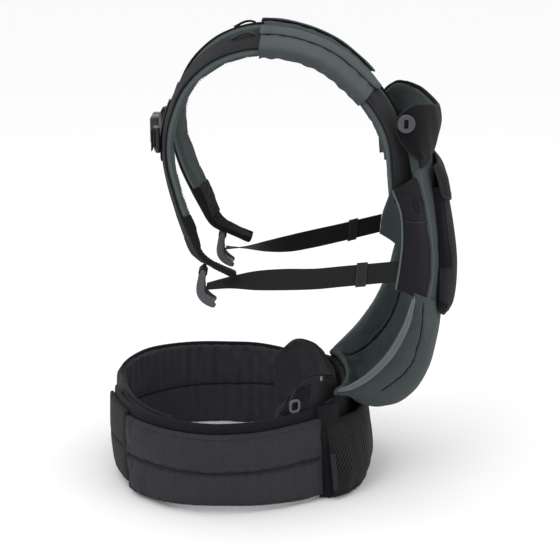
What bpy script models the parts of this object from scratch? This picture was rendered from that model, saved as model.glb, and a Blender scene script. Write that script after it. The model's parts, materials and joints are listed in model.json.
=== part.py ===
"""Soft front-carry baby carrier: waist belt, seat bucket, body panel, head support and
padded shoulder straps, standing on its belt.  Metres, +Z up, +X is the wearer's forward
direction, -Y is the wearer's right.  The belt's lowest edges rest on z = 0."""
import math

import bmesh
import bpy
from mathutils import Matrix, Vector

for leftover in list(bpy.data.objects):
    bpy.data.objects.remove(leftover, do_unlink=True)

OBJECT = "baby_carrier"
BELT_HEIGHT = 0.108          # top of the right wing above the floor
TAPE_START = 0.765           # share along the right wing where its loop tape begins
FOAM = 0.0090                # thickness of the shoulder strap foam
FACE = 0.0024                # how far a strap's outer fabric stands off the foam
WEBBING = 0.0014             # webbing thickness
WEBBING_WIDTH = 0.025        # one inch webbing
BUTTON_R = 0.0105            # head support button radius
LOCK_WIDTH = 0.031           # ladder lock, across the webbing
BUCKLE = (0.0110, 0.0320)    # chest clip thickness and height
FORWARD_LEAN = 0.016         # how much further forward the left strap's end hangs

# Colour, roughness and metallic value of each kind of material.
FINISHES = {
    "charcoal_fabric": ((0.045, 0.043, 0.049), 0.85, 0.0),
    "black_fabric": ((0.012, 0.012, 0.014), 0.9, 0.0),
    "green_fabric": ((0.095, 0.120, 0.118), 0.85, 0.0),
    "mesh_fabric": ((0.018, 0.018, 0.020), 0.8, 0.0),
    "pile_fabric": ((0.028, 0.027, 0.031), 0.95, 0.0),
    "black_webbing": ((0.014, 0.014, 0.016), 0.7, 0.0),
    "grey_plastic": ((0.135, 0.120, 0.145), 0.4, 0.0),
    "black_plastic": ((0.010, 0.010, 0.011), 0.35, 0.0),
    "label_fabric": ((0.050, 0.050, 0.055), 0.8, 0.0),
}

parts = bpy.data.collections.new(OBJECT)
bpy.context.scene.collection.children.link(parts)
cutters = bpy.data.collections.new("cutters")
bpy.context.scene.collection.children.link(cutters)


# ---------------------------------------------------------------- helpers
def along(points, t):
    """Point at share t of a smooth curve through evenly spaced points."""
    spans = len(points) - 1
    place = min(max(t, 0.0), 1.0) * spans
    i = min(int(place), spans - 1)
    f = place - i
    p1 = points[i]
    p2 = points[i + 1]
    p0 = points[i - 1] if i > 0 else p1 * 2 - p2
    p3 = points[i + 2] if i + 2 <= spans else p2 * 2 - p1
    extra = min(t, 0.0) + max(t - 1.0, 0.0)
    value = 0.5 * ((2 * p1) + (p2 - p0) * f + (2 * p0 - 5 * p1 + 4 * p2 - p3) * f * f
                   + (3 * p1 - p0 - 3 * p2 + p3) * f ** 3)
    return value + (p2 - p1) * (extra * spans)


def rails(*rows):
    return [[Vector(point) for point in row] for row in rows]


def mirrored(sheet):
    return [[Vector((p.x, -p.y, p.z)) for p in row] for row in sheet]


def whole(half):
    """Both halves of a symmetric sheet from the rails of its right half, edge to centre."""
    other = mirrored(half)
    return half + other[-2::-1]


def spot(sheet, u, v):
    return along([along(row, u) for row in sheet], v)


def normal_at(sheet, u, v, sign):
    d = 0.004
    u = min(max(u, 0.0), 1.0)
    v = min(max(v, 0.0), 1.0)
    du = spot(sheet, min(u + d, 1.0), v) - spot(sheet, max(u - d, 0.0), v)
    dv = spot(sheet, u, min(v + d, 1.0)) - spot(sheet, u, max(v - d, 0.0))
    return du.cross(dv).normalized() * sign


def outward_sign(sheet, u, v, inside):
    n = normal_at(sheet, u, v, 1.0)
    return 1.0 if n.dot(spot(sheet, u, v) - Vector(inside)) > 0 else -1.0


def finish_mesh(name, bm):
    bmesh.ops.recalc_face_normals(bm, faces=bm.faces)
    if bm.calc_volume(signed=True) < 0.0:
        bmesh.ops.reverse_faces(bm, faces=bm.faces)
    mesh = bpy.data.meshes.new(name)
    bm.to_mesh(mesh)
    bm.free()
    obj = bpy.data.objects.new(name, mesh)
    parts.objects.link(obj)
    return obj


def loft(name, rings, closed_ends=False):
    """Closed skin over rings with equal point counts, capped unless the ends meet."""
    bm = bmesh.new()
    rows = [[bm.verts.new(point) for point in ring] for ring in rings]
    count = len(rows[0])
    pairs = list(zip(rows, rows[1:]))
    if closed_ends:
        pairs.append((rows[-1], rows[0]))
    for low, high in pairs:
        for j in range(count):
            k = (j + 1) % count
            bm.faces.new((low[j], low[k], high[k], high[j]))
    if not closed_ends:
        bm.faces.new(rows[0])
        bm.faces.new(rows[-1])
    return finish_mesh(name, bm)


def patch(name, sheet, u_range, v_range, n, outer, inner, inside,
          edge=0.5, quilt=None, bulge=0.0):
    """Padded or plain panel lying on a sheet between two offsets from it.

    edge is the share of thickness left at the borders; quilt(v) thins the outer face
    along seams; bulge lifts the middle of the outer face."""
    u0, u1 = u_range
    v0, v1 = v_range
    nu, nv = n
    sign = outward_sign(sheet, (u0 + u1) / 2, (v0 + v1) / 2, inside)
    middle = (outer + inner) / 2
    bm = bmesh.new()
    top = []
    low = []
    for i in range(nu + 1):
        top.append([])
        low.append([])
        for j in range(nv + 1):
            a = i / nu
            b = j / nv
            u = u0 + (u1 - u0) * a
            v = v0 + (v1 - v0) * b
            point = spot(sheet, u, v)
            n_vec = normal_at(sheet, u, v, sign)
            border = i in (0, nu) or j in (0, nv)
            share = edge if border else 1.0
            rise = (outer - middle) * share
            if quilt and not border:
                rise = rise * quilt(b)
            rise += bulge * math.sin(math.pi * a) * math.sin(math.pi * b)
            drop = (inner - middle) * share
            for grid, offset in ((top, middle + rise), (low, middle + drop)):
                place = point + n_vec * offset
                if point.z < 1e-6:
                    place.z = 0.0
                grid[i].append(bm.verts.new(place))
    for i in range(nu):
        for j in range(nv):
            bm.faces.new((top[i][j], top[i + 1][j], top[i + 1][j + 1], top[i][j + 1]))
            bm.faces.new((low[i][j], low[i][j + 1], low[i + 1][j + 1], low[i + 1][j]))
    for i in range(nu):
        bm.faces.new((top[i][0], low[i][0], low[i + 1][0], top[i + 1][0]))
        bm.faces.new((top[i][nv], top[i + 1][nv], low[i + 1][nv], low[i][nv]))
    for j in range(nv):
        bm.faces.new((top[0][j], top[0][j + 1], low[0][j + 1], low[0][j]))
        bm.faces.new((top[nu][j], low[nu][j], low[nu][j + 1], top[nu][j + 1]))
    return finish_mesh(name, bm)


def cuff(name, sheet, u_range, n, inside, out, under, side, wall, v_range=(0.0, 1.0)):
    """Fabric tube around a strap: clear inner size plus a wall of constant thickness."""
    u0, u1 = u_range
    sign = outward_sign(sheet, (u0 + u1) / 2, 0.5, inside)
    loop = [(0.0, 0.55), (0.06, 0.92), (0.30, 1.0), (0.70, 1.0), (0.94, 0.92), (1.0, 0.55),
            (1.0, -0.55), (0.94, -0.92), (0.5, -1.0), (0.06, -0.92), (0.0, -0.55)]
    bm = bmesh.new()
    shells = []
    for grow in (wall, 0.0):
        rings = []
        for i in range(n + 1):
            u = u0 + (u1 - u0) * i / n
            n_vec = normal_at(sheet, u, 0.5, sign)
            a = spot(sheet, u, v_range[0])
            b = spot(sheet, u, v_range[1])
            across = (b - a).normalized()
            half = (out - under) / 2 + grow
            mid = (out + under) / 2
            start = a - across * (side + grow)
            end = b + across * (side + grow)
            ring = []
            for share, lift in loop:
                point = start + (end - start) * share + n_vec * (mid + half * lift)
                ring.append(bm.verts.new(point))
            rings.append(ring)
        shells.append(rings)
    outer, inner = shells
    count = len(loop)
    for i in range(n):
        for j in range(count):
            k = (j + 1) % count
            bm.faces.new((outer[i][j], outer[i][k], outer[i + 1][k], outer[i + 1][j]))
            bm.faces.new((inner[i][j], inner[i + 1][j], inner[i + 1][k], inner[i][k]))
    for i in (0, n):
        for j in range(count):
            k = (j + 1) % count
            bm.faces.new((outer[i][j], inner[i][j], inner[i][k], outer[i][k]))
    return finish_mesh(name, bm)


def roll(name, points, n, radius_out, radius_up, sides=8, lean=0.0):
    """Round or oval padded edge following a curve."""
    rings = []
    for i in range(n + 1):
        t = i / n
        here = along(points, t)
        ahead = (along(points, min(t + 0.01, 1.0)) - along(points, max(t - 0.01, 0.0)))
        ahead.normalize()
        side = ahead.cross(Vector((0.0, 0.0, 1.0)))
        if side.length < 0.05:
            side = Vector((0.0, 1.0, 0.0))
        side.normalize()
        up = side.cross(ahead).normalized()
        taper = 0.55 if i in (0, n) else 1.0
        ring = []
        for j in range(sides):
            angle = 2 * math.pi * j / sides + lean
            ring.append(here + side * (math.cos(angle) * radius_out * taper)
                        + up * (math.sin(angle) * radius_up * taper))
        rings.append(ring)
    return loft(name, rings)


def box(name, size, place, bevel=0.0, turn=(0.0, 0.0, 0.0), into=None):
    bm = bmesh.new()
    bmesh.ops.create_cube(bm, size=1.0)
    for vert in bm.verts:
        vert.co.x *= size[0]
        vert.co.y *= size[1]
        vert.co.z *= size[2]
    if bevel:
        bmesh.ops.bevel(bm, geom=list(bm.edges), offset=bevel, segments=1,
                        affect="EDGES", profile=0.5)
    obj = finish_mesh(name, bm)
    obj.location = place
    obj.rotation_euler = turn
    if into:
        parts.objects.unlink(obj)
        into.objects.link(obj)
    return obj


def cylinder(name, radius, depth, place, turn=(0.0, 0.0, 0.0), sides=20, bevel=0.0):
    bm = bmesh.new()
    bmesh.ops.create_cone(bm, cap_ends=True, segments=sides, radius1=radius,
                          radius2=radius, depth=depth)
    if bevel:
        rims = [edge for edge in bm.edges if abs(edge.verts[0].co.z - edge.verts[1].co.z) < 1e-6]
        bmesh.ops.bevel(bm, geom=rims, offset=bevel, segments=1, affect="EDGES", profile=0.5)
    obj = finish_mesh(name, bm)
    obj.location = place
    obj.rotation_euler = turn
    return obj


def cut(obj, name, size, place, turn=(0.0, 0.0, 0.0)):
    tool = box(name, size, place, turn=turn, into=cutters)
    tool.hide_render = True
    tool.display_type = "WIRE"
    mod = obj.modifiers.new(name, "BOOLEAN")
    mod.operation = "DIFFERENCE"
    mod.solver = "EXACT"
    mod.object = tool
    return tool


def extruded(name, outline, y0, y1):
    """Prism with an outline in the X-Z plane, running along Y."""
    ring0 = [Vector((x, y0, z)) for x, z in outline]
    ring1 = [Vector((x, y1, z)) for x, z in outline]
    return loft(name, [ring0, ring1])


# ---------------------------------------------------------------- waist belt
BELT_MIDDLE = (-0.065, 0.0, 0.06)

# Right wing, front seam to the tail's end: plan line of its top and bottom edges.
right_wing = rails(
    [(0.050, -0.096, BELT_HEIGHT), (0.018, -0.121, BELT_HEIGHT), (-0.026, -0.148, BELT_HEIGHT),
     (-0.070, -0.157, BELT_HEIGHT), (-0.102, -0.152, BELT_HEIGHT), (-0.133, -0.138, BELT_HEIGHT),
     (-0.164, -0.113, BELT_HEIGHT), (-0.186, -0.084, BELT_HEIGHT), (-0.202, -0.046, BELT_HEIGHT),
     (-0.211, -0.012, BELT_HEIGHT)],
    [(0.052, -0.104, 0.055), (0.020, -0.127, 0.055), (-0.026, -0.151, 0.055),
     (-0.070, -0.158, 0.055), (-0.102, -0.153, 0.055), (-0.133, -0.139, 0.055),
     (-0.164, -0.114, 0.055), (-0.186, -0.085, 0.055), (-0.203, -0.046, 0.055),
     (-0.212, -0.012, 0.055)],
    [(0.053, -0.110, 0.004), (0.024, -0.130, 0.004), (-0.024, -0.150, 0.006),
     (-0.068, -0.156, 0.008), (-0.101, -0.152, 0.007), (-0.133, -0.139, 0.005),
     (-0.163, -0.114, 0.003), (-0.184, -0.085, 0.003), (-0.200, -0.046, 0.005),
     (-0.208, -0.012, 0.010)])


def two_channels(b):
    """Thin at the middle seam, full over each of the two channels."""
    return 0.35 if abs(b - 0.5) < 0.04 else 1.0


# The backing and the cover are cut fine along the wing, so that their facets keep apart.
patch("belt_wing_right", right_wing, (0.0, 1.0), (0.0, 1.0), (32, 3),
      -0.0016, -0.0065, BELT_MIDDLE, edge=0.6)
patch("belt_cover_right", right_wing, (0.012, TAPE_START - 0.005), (0.085, 0.93), (24, 6),
      0.0062, -0.0011, BELT_MIDDLE, edge=0.4, quilt=two_channels)
patch("belt_loop_tape_right", right_wing, (TAPE_START, 0.995), (0.04, 0.93), (8, 4),
      0.0045, -0.0011, BELT_MIDDLE, edge=0.6, quilt=two_channels)

# Left wing, front seam round the far side and in behind the right wing's tail.
left_wing = rails(
    [(0.050, 0.096, BELT_HEIGHT), (0.010, 0.129, 0.110), (-0.030, 0.148, 0.112),
     (-0.072, 0.154, 0.112), (-0.112, 0.154, 0.112), (-0.148, 0.144, 0.112),
     (-0.178, 0.124, 0.112), (-0.198, 0.092, 0.111), (-0.207, 0.054, 0.110),
     (-0.203, 0.014, 0.109), (-0.194, -0.022, 0.108), (-0.180, -0.056, 0.106),
     (-0.158, -0.090, 0.104), (-0.128, -0.115, 0.101)],
    [(0.052, 0.104, 0.056), (0.012, 0.133, 0.056), (-0.030, 0.151, 0.056),
     (-0.072, 0.157, 0.056), (-0.112, 0.156, 0.056), (-0.148, 0.145, 0.056),
     (-0.178, 0.124, 0.056), (-0.199, 0.092, 0.056), (-0.208, 0.054, 0.055),
     (-0.204, 0.014, 0.054), (-0.195, -0.022, 0.053), (-0.181, -0.056, 0.053),
     (-0.159, -0.091, 0.052), (-0.129, -0.117, 0.051)],
    [(0.053, 0.110, 0.000), (0.014, 0.135, 0.000), (-0.030, 0.151, 0.000),
     (-0.072, 0.156, 0.000), (-0.112, 0.155, 0.000), (-0.148, 0.144, 0.000),
     (-0.177, 0.123, 0.000), (-0.196, 0.091, 0.000), (-0.204, 0.054, 0.000),
     (-0.199, 0.014, 0.000), (-0.190, -0.022, 0.000), (-0.177, -0.056, 0.000),
     (-0.156, -0.091, 0.000), (-0.128, -0.116, 0.000)])
patch("belt_wing_left", left_wing, (0.0, 1.0), (0.0, 1.0), (22, 4),
      0.0045, -0.0055, BELT_MIDDLE, edge=0.45, quilt=two_channels)
patch("belt_hook_patch", left_wing, (15 / 22, 21 / 22), (0.25, 0.75), (6, 2),
      0.0064, 0.0051, BELT_MIDDLE, edge=0.6)

# Front of the belt between the two seams, flaring towards its bottom edge.
belt_front = whole(rails(
    [(0.054, -0.094, 0.116), (0.056, -0.099, 0.070), (0.058, -0.108, 0.030),
     (0.058, -0.114, 0.000)],
    [(0.072, -0.070, 0.119), (0.078, -0.078, 0.070), (0.084, -0.088, 0.030),
     (0.085, -0.092, 0.000)],
    [(0.079, -0.036, 0.119), (0.088, -0.040, 0.070), (0.096, -0.046, 0.030),
     (0.098, -0.048, 0.000)],
    [(0.081, 0.000, 0.119), (0.090, 0.000, 0.070), (0.099, 0.000, 0.030),
     (0.101, 0.000, 0.000)]))
patch("belt_front", belt_front, (0.0, 1.0), (0.0, 1.0), (4, 12),
      0.0035, -0.0035, BELT_MIDDLE, edge=0.8)

# Stretch mesh pocket on the front of the belt, open along its top.
belt_pocket = whole(rails(
    [(0.056, -0.106, 0.093), (0.060, -0.111, 0.070), (0.064, -0.119, 0.030),
     (0.066, -0.121, 0.006)],
    [(0.077, -0.091, 0.092), (0.085, -0.095, 0.070), (0.092, -0.104, 0.030),
     (0.087, -0.101, 0.006)],
    [(0.098, -0.058, 0.091), (0.106, -0.060, 0.070), (0.111, -0.066, 0.030),
     (0.104, -0.060, 0.006)],
    [(0.107, 0.000, 0.090), (0.113, 0.000, 0.070), (0.116, 0.000, 0.030),
     (0.109, 0.000, 0.006)]))
patch("belt_pocket", belt_pocket, (0.0, 1.0), (0.0, 1.0), (4, 14),
      0.0010, -0.0010, BELT_MIDDLE, edge=0.8)
hem_line = [spot(belt_pocket, 0.0, i / 12) + Vector((0.0, 0.0, 0.0026)) for i in range(13)]
roll("belt_pocket_hem", hem_line, 14, 0.0014, 0.0018, sides=6)

# Belly pad inside the front of the belt, its rounded corners standing above the wings.
belly_pad = whole(rails(
    [(-0.006, -0.126, 0.060), (-0.006, -0.126, 0.085), (-0.005, -0.121, 0.104),
     (0.002, -0.115, 0.114)],
    [(0.022, -0.104, 0.035), (0.021, -0.102, 0.080), (0.021, -0.097, 0.120),
     (0.022, -0.090, 0.138)],
    [(0.047, -0.078, 0.030), (0.046, -0.074, 0.080), (0.045, -0.068, 0.122),
     (0.045, -0.062, 0.140)],
    [(0.063, -0.041, 0.030), (0.062, -0.039, 0.075), (0.060, -0.036, 0.112),
     (0.058, -0.034, 0.130)],
    [(0.070, 0.000, 0.030), (0.069, 0.000, 0.070), (0.067, 0.000, 0.104),
     (0.065, 0.000, 0.121)]))
patch("belly_pad", belly_pad, (0.0, 1.0), (0.0, 1.0), (4, 14),
      0.0040, -0.0045, BELT_MIDDLE, edge=0.4)

# Webbing end and grey ring on the outer face of the pad's right corner.
strip = rails([(0.018, -0.1010, 0.137), (0.019, -0.1060, 0.122), (0.020, -0.1095, 0.1125)],
              [(0.037, -0.0840, 0.137), (0.035, -0.0920, 0.122), (0.031, -0.1010, 0.1125)])
patch("belt_adjuster_webbing", strip, (0.0, 1.0), (0.0, 1.0), (3, 1),
      0.0022, 0.0010, (0.0, 0.0, 0.12), edge=1.0)
ring = cylinder("belt_adjuster_ring", 0.0082, 0.0028, (0.0175, -0.1150, 0.1190),
                turn=(math.radians(90), 0.0, math.radians(32)), sides=20, bevel=0.0007)
cut(ring, "cut_ring", (0.0085, 0.0085, 0.02), (0.0175, -0.1150, 0.1190),
    turn=(math.radians(90), 0.0, math.radians(32)))

# Narrow woven label in the seam between the right wing and the pocket.
tag = rails([(0.0560, -0.1235, 0.060), (0.0585, -0.1275, 0.038), (0.0600, -0.1295, 0.016)],
            [(0.0640, -0.1195, 0.060), (0.0670, -0.1240, 0.038), (0.0680, -0.1260, 0.016)])
patch("belt_tag", tag, (0.0, 1.0), (0.0, 1.0), (3, 1), 0.0004, -0.0004, BELT_MIDDLE, edge=1.0)

# ---------------------------------------------------------------- seat and body panel
CHILD = (0.085, 0.0, 0.30)

# Seat bucket from the belt's front edge down, forward and up; right edge to centre.
seat = whole(rails(
    [(0.0710, -0.080, 0.1245), (0.0890, -0.092, 0.134), (0.1110, -0.103, 0.152),
     (0.1340, -0.114, 0.182), (0.1510, -0.122, 0.220), (0.1580, -0.1290, 0.2590)],
    [(0.0780, -0.064, 0.1245), (0.0940, -0.078, 0.119), (0.1190, -0.094, 0.128),
     (0.1470, -0.106, 0.154), (0.1650, -0.112, 0.192), (0.1715, -0.1150, 0.2490)],
    [(0.0840, -0.036, 0.1240), (0.0980, -0.050, 0.108), (0.1270, -0.064, 0.106),
     (0.1580, -0.074, 0.126), (0.1780, -0.077, 0.168), (0.1870, -0.0780, 0.2360)],
    [(0.0870, 0.000, 0.1240), (0.1010, 0.000, 0.104), (0.1330, 0.000, 0.100),
     (0.1660, 0.000, 0.116), (0.1880, 0.000, 0.157), (0.1965, 0.0000, 0.2262)]))
patch("seat_bucket", seat, (0.0, 1.0), (0.0, 1.0), (10, 12),
      0.0030, -0.0040, CHILD, edge=0.6)
leg_edge = [Vector((0.0725, -0.0858, 0.1285)), Vector((0.0885, -0.0972, 0.1385)),
            Vector((0.1092, -0.1082, 0.1568)), Vector((0.1312, -0.1192, 0.1862)),
            Vector((0.1475, -0.1275, 0.2225)), Vector((0.1535, -0.1345, 0.2500))]
roll("leg_edge_right", leg_edge, 12, 0.0038, 0.0042)
roll("leg_edge_left", [Vector((p.x, -p.y, p.z)) for p in leg_edge], 12, 0.0038, 0.0042)

# Body panel above the seat, between the two side panels.
body_panel = whole(rails(
    [(0.1715, -0.1125, 0.252), (0.1750, -0.1135, 0.285), (0.1730, -0.1135, 0.320),
     (0.1660, -0.1130, 0.362), (0.1570, -0.1110, 0.402)],
    [(0.1870, -0.0780, 0.238), (0.1900, -0.0780, 0.285), (0.1880, -0.0770, 0.325),
     (0.1820, -0.0750, 0.368), (0.1730, -0.0730, 0.408)],
    [(0.1945, -0.0390, 0.230), (0.1960, -0.0390, 0.285), (0.1945, -0.0390, 0.329),
     (0.1885, -0.0380, 0.372), (0.1790, -0.0370, 0.411)],
    [(0.1965, 0.0000, 0.228), (0.1980, 0.0000, 0.285), (0.1960, 0.0000, 0.330),
     (0.1900, 0.0000, 0.373), (0.1810, 0.0000, 0.412)]))
patch("body_panel", body_panel, (0.0, 1.0), (0.0, 1.0), (8, 10),
      0.0020, -0.0040, CHILD, edge=0.6)

# Black side panels reaching back to the side straps.
side_panel = rails(
    [(0.1704, -0.1142, 0.2545), (0.1740, -0.1150, 0.286), (0.1720, -0.1150, 0.320),
     (0.1650, -0.1146, 0.360), (0.1560, -0.1128, 0.3985)],
    [(0.1530, -0.1300, 0.2680), (0.1575, -0.1310, 0.293), (0.1570, -0.1315, 0.323),
     (0.1525, -0.1305, 0.359), (0.1420, -0.1285, 0.3925)],
    [(0.1345, -0.1395, 0.2775), (0.1375, -0.1405, 0.300), (0.1395, -0.1410, 0.330),
     (0.1370, -0.1400, 0.361), (0.1275, -0.1385, 0.3865)])
patch("side_panel_right", side_panel, (0.0, 1.0), (0.0, 1.0), (8, 4),
      0.0028, -0.0030, CHILD, edge=0.6)
left_panel = mirrored(side_panel)
for row, reach in zip(left_panel, (0.0, 0.003, 0.007)):
    for p in row[2:]:
        p.x += reach
patch("side_panel_left", left_panel, (0.0, 1.0), (0.0, 1.0), (8, 4),
      0.0028, -0.0030, CHILD, edge=0.6)

# Front pocket: a fabric pan standing off the body panel, open under its flap.
front_pocket = whole(rails(
    [(0.1885, -0.0895, 0.237), (0.1890, -0.0900, 0.245), (0.1885, -0.0905, 0.285),
     (0.1860, -0.0900, 0.325), (0.1800, -0.0870, 0.378)],
    [(0.1920, -0.0850, 0.226), (0.1990, -0.0885, 0.240), (0.2020, -0.0890, 0.285),
     (0.1965, -0.0885, 0.325), (0.1890, -0.0840, 0.378)],
    [(0.2000, -0.0520, 0.216), (0.2095, -0.0560, 0.238), (0.2115, -0.0560, 0.285),
     (0.2055, -0.0560, 0.330), (0.1960, -0.0540, 0.379)],
    [(0.2030, 0.0000, 0.213), (0.2125, 0.0000, 0.238), (0.2145, 0.0000, 0.285),
     (0.2080, 0.0000, 0.330), (0.1985, 0.0000, 0.380)]))
patch("front_pocket", front_pocket, (0.0, 1.0), (0.0, 1.0), (8, 12),
      0.0012, -0.0012, CHILD, edge=0.8)
patch("pocket_elastic_right", front_pocket, (0.25, 0.5), (0.0, 1 / 6), (2, 2),
      0.0030, 0.0015, CHILD, edge=0.8)
patch("pocket_elastic_left", front_pocket, (0.25, 0.5), (5 / 6, 1.0), (2, 2),
      0.0030, 0.0015, CHILD, edge=0.8)

# Pocket flap, hinged along its stitched top edge.
flap = whole(rails(
    [(0.1790, -0.0880, 0.4060), (0.1840, -0.0925, 0.392), (0.1890, -0.0945, 0.372)],
    [(0.1850, -0.0640, 0.4075), (0.1950, -0.0720, 0.391), (0.2010, -0.0740, 0.364)],
    [(0.1870, 0.0000, 0.4085), (0.1985, 0.0000, 0.392), (0.2055, 0.0000, 0.358)]))
patch("pocket_flap", flap, (0.0, 1.0), (0.0, 1.0), (4, 10),
      0.0014, -0.0012, CHILD, edge=0.8)

# ---------------------------------------------------------------- head support
HEAD = (0.140, 0.0, 0.47)
head = whole(rails(
    [(0.1560, -0.1130, 0.4170), (0.1440, -0.1150, 0.4300), (0.1340, -0.1155, 0.446),
     (0.1320, -0.1145, 0.4660)],
    [(0.1640, -0.1040, 0.4165), (0.1590, -0.1080, 0.4350), (0.1540, -0.1100, 0.458),
     (0.1505, -0.1085, 0.4790)],
    [(0.1735, -0.0790, 0.4160), (0.1755, -0.0820, 0.4340), (0.1765, -0.0830, 0.456),
     (0.1735, -0.0800, 0.4760)],
    [(0.1805, -0.0410, 0.4155), (0.1850, -0.0430, 0.4330), (0.1880, -0.0430, 0.452),
     (0.1855, -0.0410, 0.4690)],
    [(0.1825, 0.0000, 0.4155), (0.1880, 0.0000, 0.4330), (0.1915, 0.0000, 0.450),
     (0.1895, 0.0000, 0.4660)]))
patch("head_support", head, (0.0, 1.0), (0.0, 1.0), (6, 16),
      0.0032, 0.0004, HEAD, edge=0.7)
patch("head_support_lining", head, (0.03, 0.97), (0.015, 0.985), (5, 16),
      -0.0012, -0.0058, HEAD, edge=0.5)
BUTTON = Vector((0.1430, -0.1202, 0.4600))
for side_name, y_sign in (("right", 1.0), ("left", -1.0)):
    place = Vector((BUTTON.x, BUTTON.y * y_sign, BUTTON.z))
    turn = (math.radians(90), 0.0, math.radians(12) * y_sign)
    disc = cylinder("head_button_" + side_name, BUTTON_R, 0.0040, place, turn=turn, bevel=0.0009)
    cut(disc, "cut_button_" + side_name, (0.0040, 0.0095, 0.02), place, turn=turn)

# ---------------------------------------------------------------- shoulder straps
# Neck-side edge and arm-side edge, from the side panel over the shoulder to the back.
NECK_EDGE = [(0.1510, -0.0790, 0.4035), (0.1450, -0.0740, 0.432), (0.1340, -0.0700, 0.460),
             (0.1160, -0.0640, 0.488), (0.0920, -0.0570, 0.514), (0.0600, -0.0510, 0.537),
             (0.0200, -0.0480, 0.552), (-0.0200, -0.0480, 0.557), (-0.0540, -0.0510, 0.551),
             (-0.0830, -0.0550, 0.536), (-0.1080, -0.0590, 0.511), (-0.1255, -0.0610, 0.479),
             (-0.1350, -0.0630, 0.447), (-0.1365, -0.0640, 0.414), (-0.1320, -0.0650, 0.381),
             (-0.1220, -0.0670, 0.347), (-0.1110, -0.0720, 0.316)]
ARM_EDGE = [(0.1275, -0.1330, 0.3935), (0.1240, -0.1290, 0.432), (0.1160, -0.1265, 0.457),
            (0.1010, -0.1225, 0.481), (0.0800, -0.1180, 0.503), (0.0500, -0.1140, 0.5265),
            (0.0130, -0.1110, 0.5400), (-0.0240, -0.1100, 0.5430), (-0.0570, -0.1100, 0.537),
            (-0.0850, -0.1110, 0.523), (-0.1080, -0.1130, 0.500), (-0.1220, -0.1150, 0.472),
            (-0.1290, -0.1160, 0.443), (-0.1290, -0.1150, 0.413), (-0.1225, -0.1120, 0.382),
            (-0.1130, -0.1070, 0.349), (-0.1010, -0.1010, 0.319)]
right_strap = rails(NECK_EDGE, ARM_EDGE)


def left_of(sheet):
    """Mirror a strap sheet; its lower ends hang a little further forward."""
    result = mirrored(sheet)
    for row in result:
        for p in row:
            top, rise, lean = (0.440, 0.160, FORWARD_LEAN) if p.x < 0.0 else (0.500, 0.070, 0.007)
            share = min(max((top - p.z) / rise, 0.0), 1.0)
            p.x += lean * share * share * (3 - 2 * share)
    return result


left_strap = left_of(right_strap)
strap_end = rails(
    [(-0.1105, -0.0730, 0.3145), (-0.1050, -0.0760, 0.3020), (-0.0955, -0.0790, 0.2935),
     (-0.0810, -0.0840, 0.2875), (-0.0650, -0.0880, 0.2825), (-0.0520, -0.0900, 0.2785)],
    [(-0.0985, -0.1005, 0.3175), (-0.0935, -0.1010, 0.3050), (-0.0860, -0.1020, 0.2965),
     (-0.0765, -0.1060, 0.2910), (-0.0635, -0.1090, 0.2855), (-0.0510, -0.1090, 0.2805)])

for side_name, strap, end_sheet, y_sign in (
        ("right", right_strap, strap_end, 1.0),
        ("left", left_strap, left_of(strap_end), -1.0)):
    arm = (0.0, -0.09 * y_sign, 0.44)
    patch("strap_face_" + side_name, strap, (0.0, 1.0), (0.0, 1.0), (22, 2),
          FACE, 0.0003, arm, edge=0.6)
    patch("strap_lining_" + side_name, strap, (0.0, 21 / 22), (-0.03, 1.03), (21, 2),
          -0.0002, -FOAM, arm, edge=0.45)
    cuff("strap_sleeve_" + side_name, strap, (0.205, 0.437), 9, arm, 0.0038, -0.0108,
         0.0036, 0.0014)
    patch("sleeve_flap_" + side_name, strap, (0.198, 0.440), (-0.03, 0.42), (9, 3),
          0.0074, 0.0058, arm, edge=0.7)
    patch("strap_end_" + side_name, end_sheet, (0.0, 1.0), (0.0, 1.0), (8, 2),
          0.0022, -0.0022, arm, edge=0.6)

# Small carry loops standing on the straps behind the sleeves.
for side_name, strap, y_sign in (("right", right_strap, 1.0), ("left", left_strap, -1.0)):
    arm = (0.0, -0.09 * y_sign, 0.44)
    share = 0.34
    sign = outward_sign(strap, 0.5, 0.5, arm)
    arch = []
    for u, height in ((0.452, 0.0052), (0.458, 0.0088), (0.470, 0.0112),
                      (0.484, 0.0100), (0.498, 0.0064), (0.506, 0.0052)):
        arch.append(spot(strap, u, share) + normal_at(strap, u, share, sign) * height)
    roll("strap_loop_" + side_name, arch, 8, 0.0045, 0.0011, sides=6)

# ---------------------------------------------------------------- side straps
web_right = rails(
    [(-0.0870, -0.1080, 0.2620), (-0.0580, -0.1100, 0.2640), (-0.0280, -0.1130, 0.2625),
     (0.0050, -0.1170, 0.2635), (0.0400, -0.1240, 0.2665), (0.0710, -0.1288, 0.2708),
     (0.1020, -0.1336, 0.2751), (0.1330, -0.1384, 0.2794)],
    [(-0.0870, -0.0840, 0.2635), (-0.0580, -0.0870, 0.2725), (-0.0280, -0.0960, 0.2815),
     (0.0050, -0.1110, 0.2880), (0.0400, -0.1232, 0.2915), (0.0720, -0.1282, 0.2958),
     (0.1040, -0.1332, 0.3001), (0.1360, -0.1382, 0.3044)])
web_left = rails(
    [(-0.0710, 0.1080, 0.2620), (-0.0440, 0.1100, 0.2580), (-0.0160, 0.1130, 0.2530),
     (0.0140, 0.1170, 0.2520), (0.0450, 0.1230, 0.2560), (0.0745, 0.1282, 0.2615),
     (0.1040, 0.1334, 0.2675), (0.1330, 0.1386, 0.2735)],
    [(-0.0710, 0.0840, 0.2635), (-0.0440, 0.0870, 0.2665), (-0.0160, 0.0960, 0.2720),
     (0.0140, 0.1100, 0.2765), (0.0450, 0.1222, 0.2810), (0.0755, 0.1276, 0.2865),
     (0.1060, 0.1330, 0.2925), (0.1355, 0.1382, 0.2985)])
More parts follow.
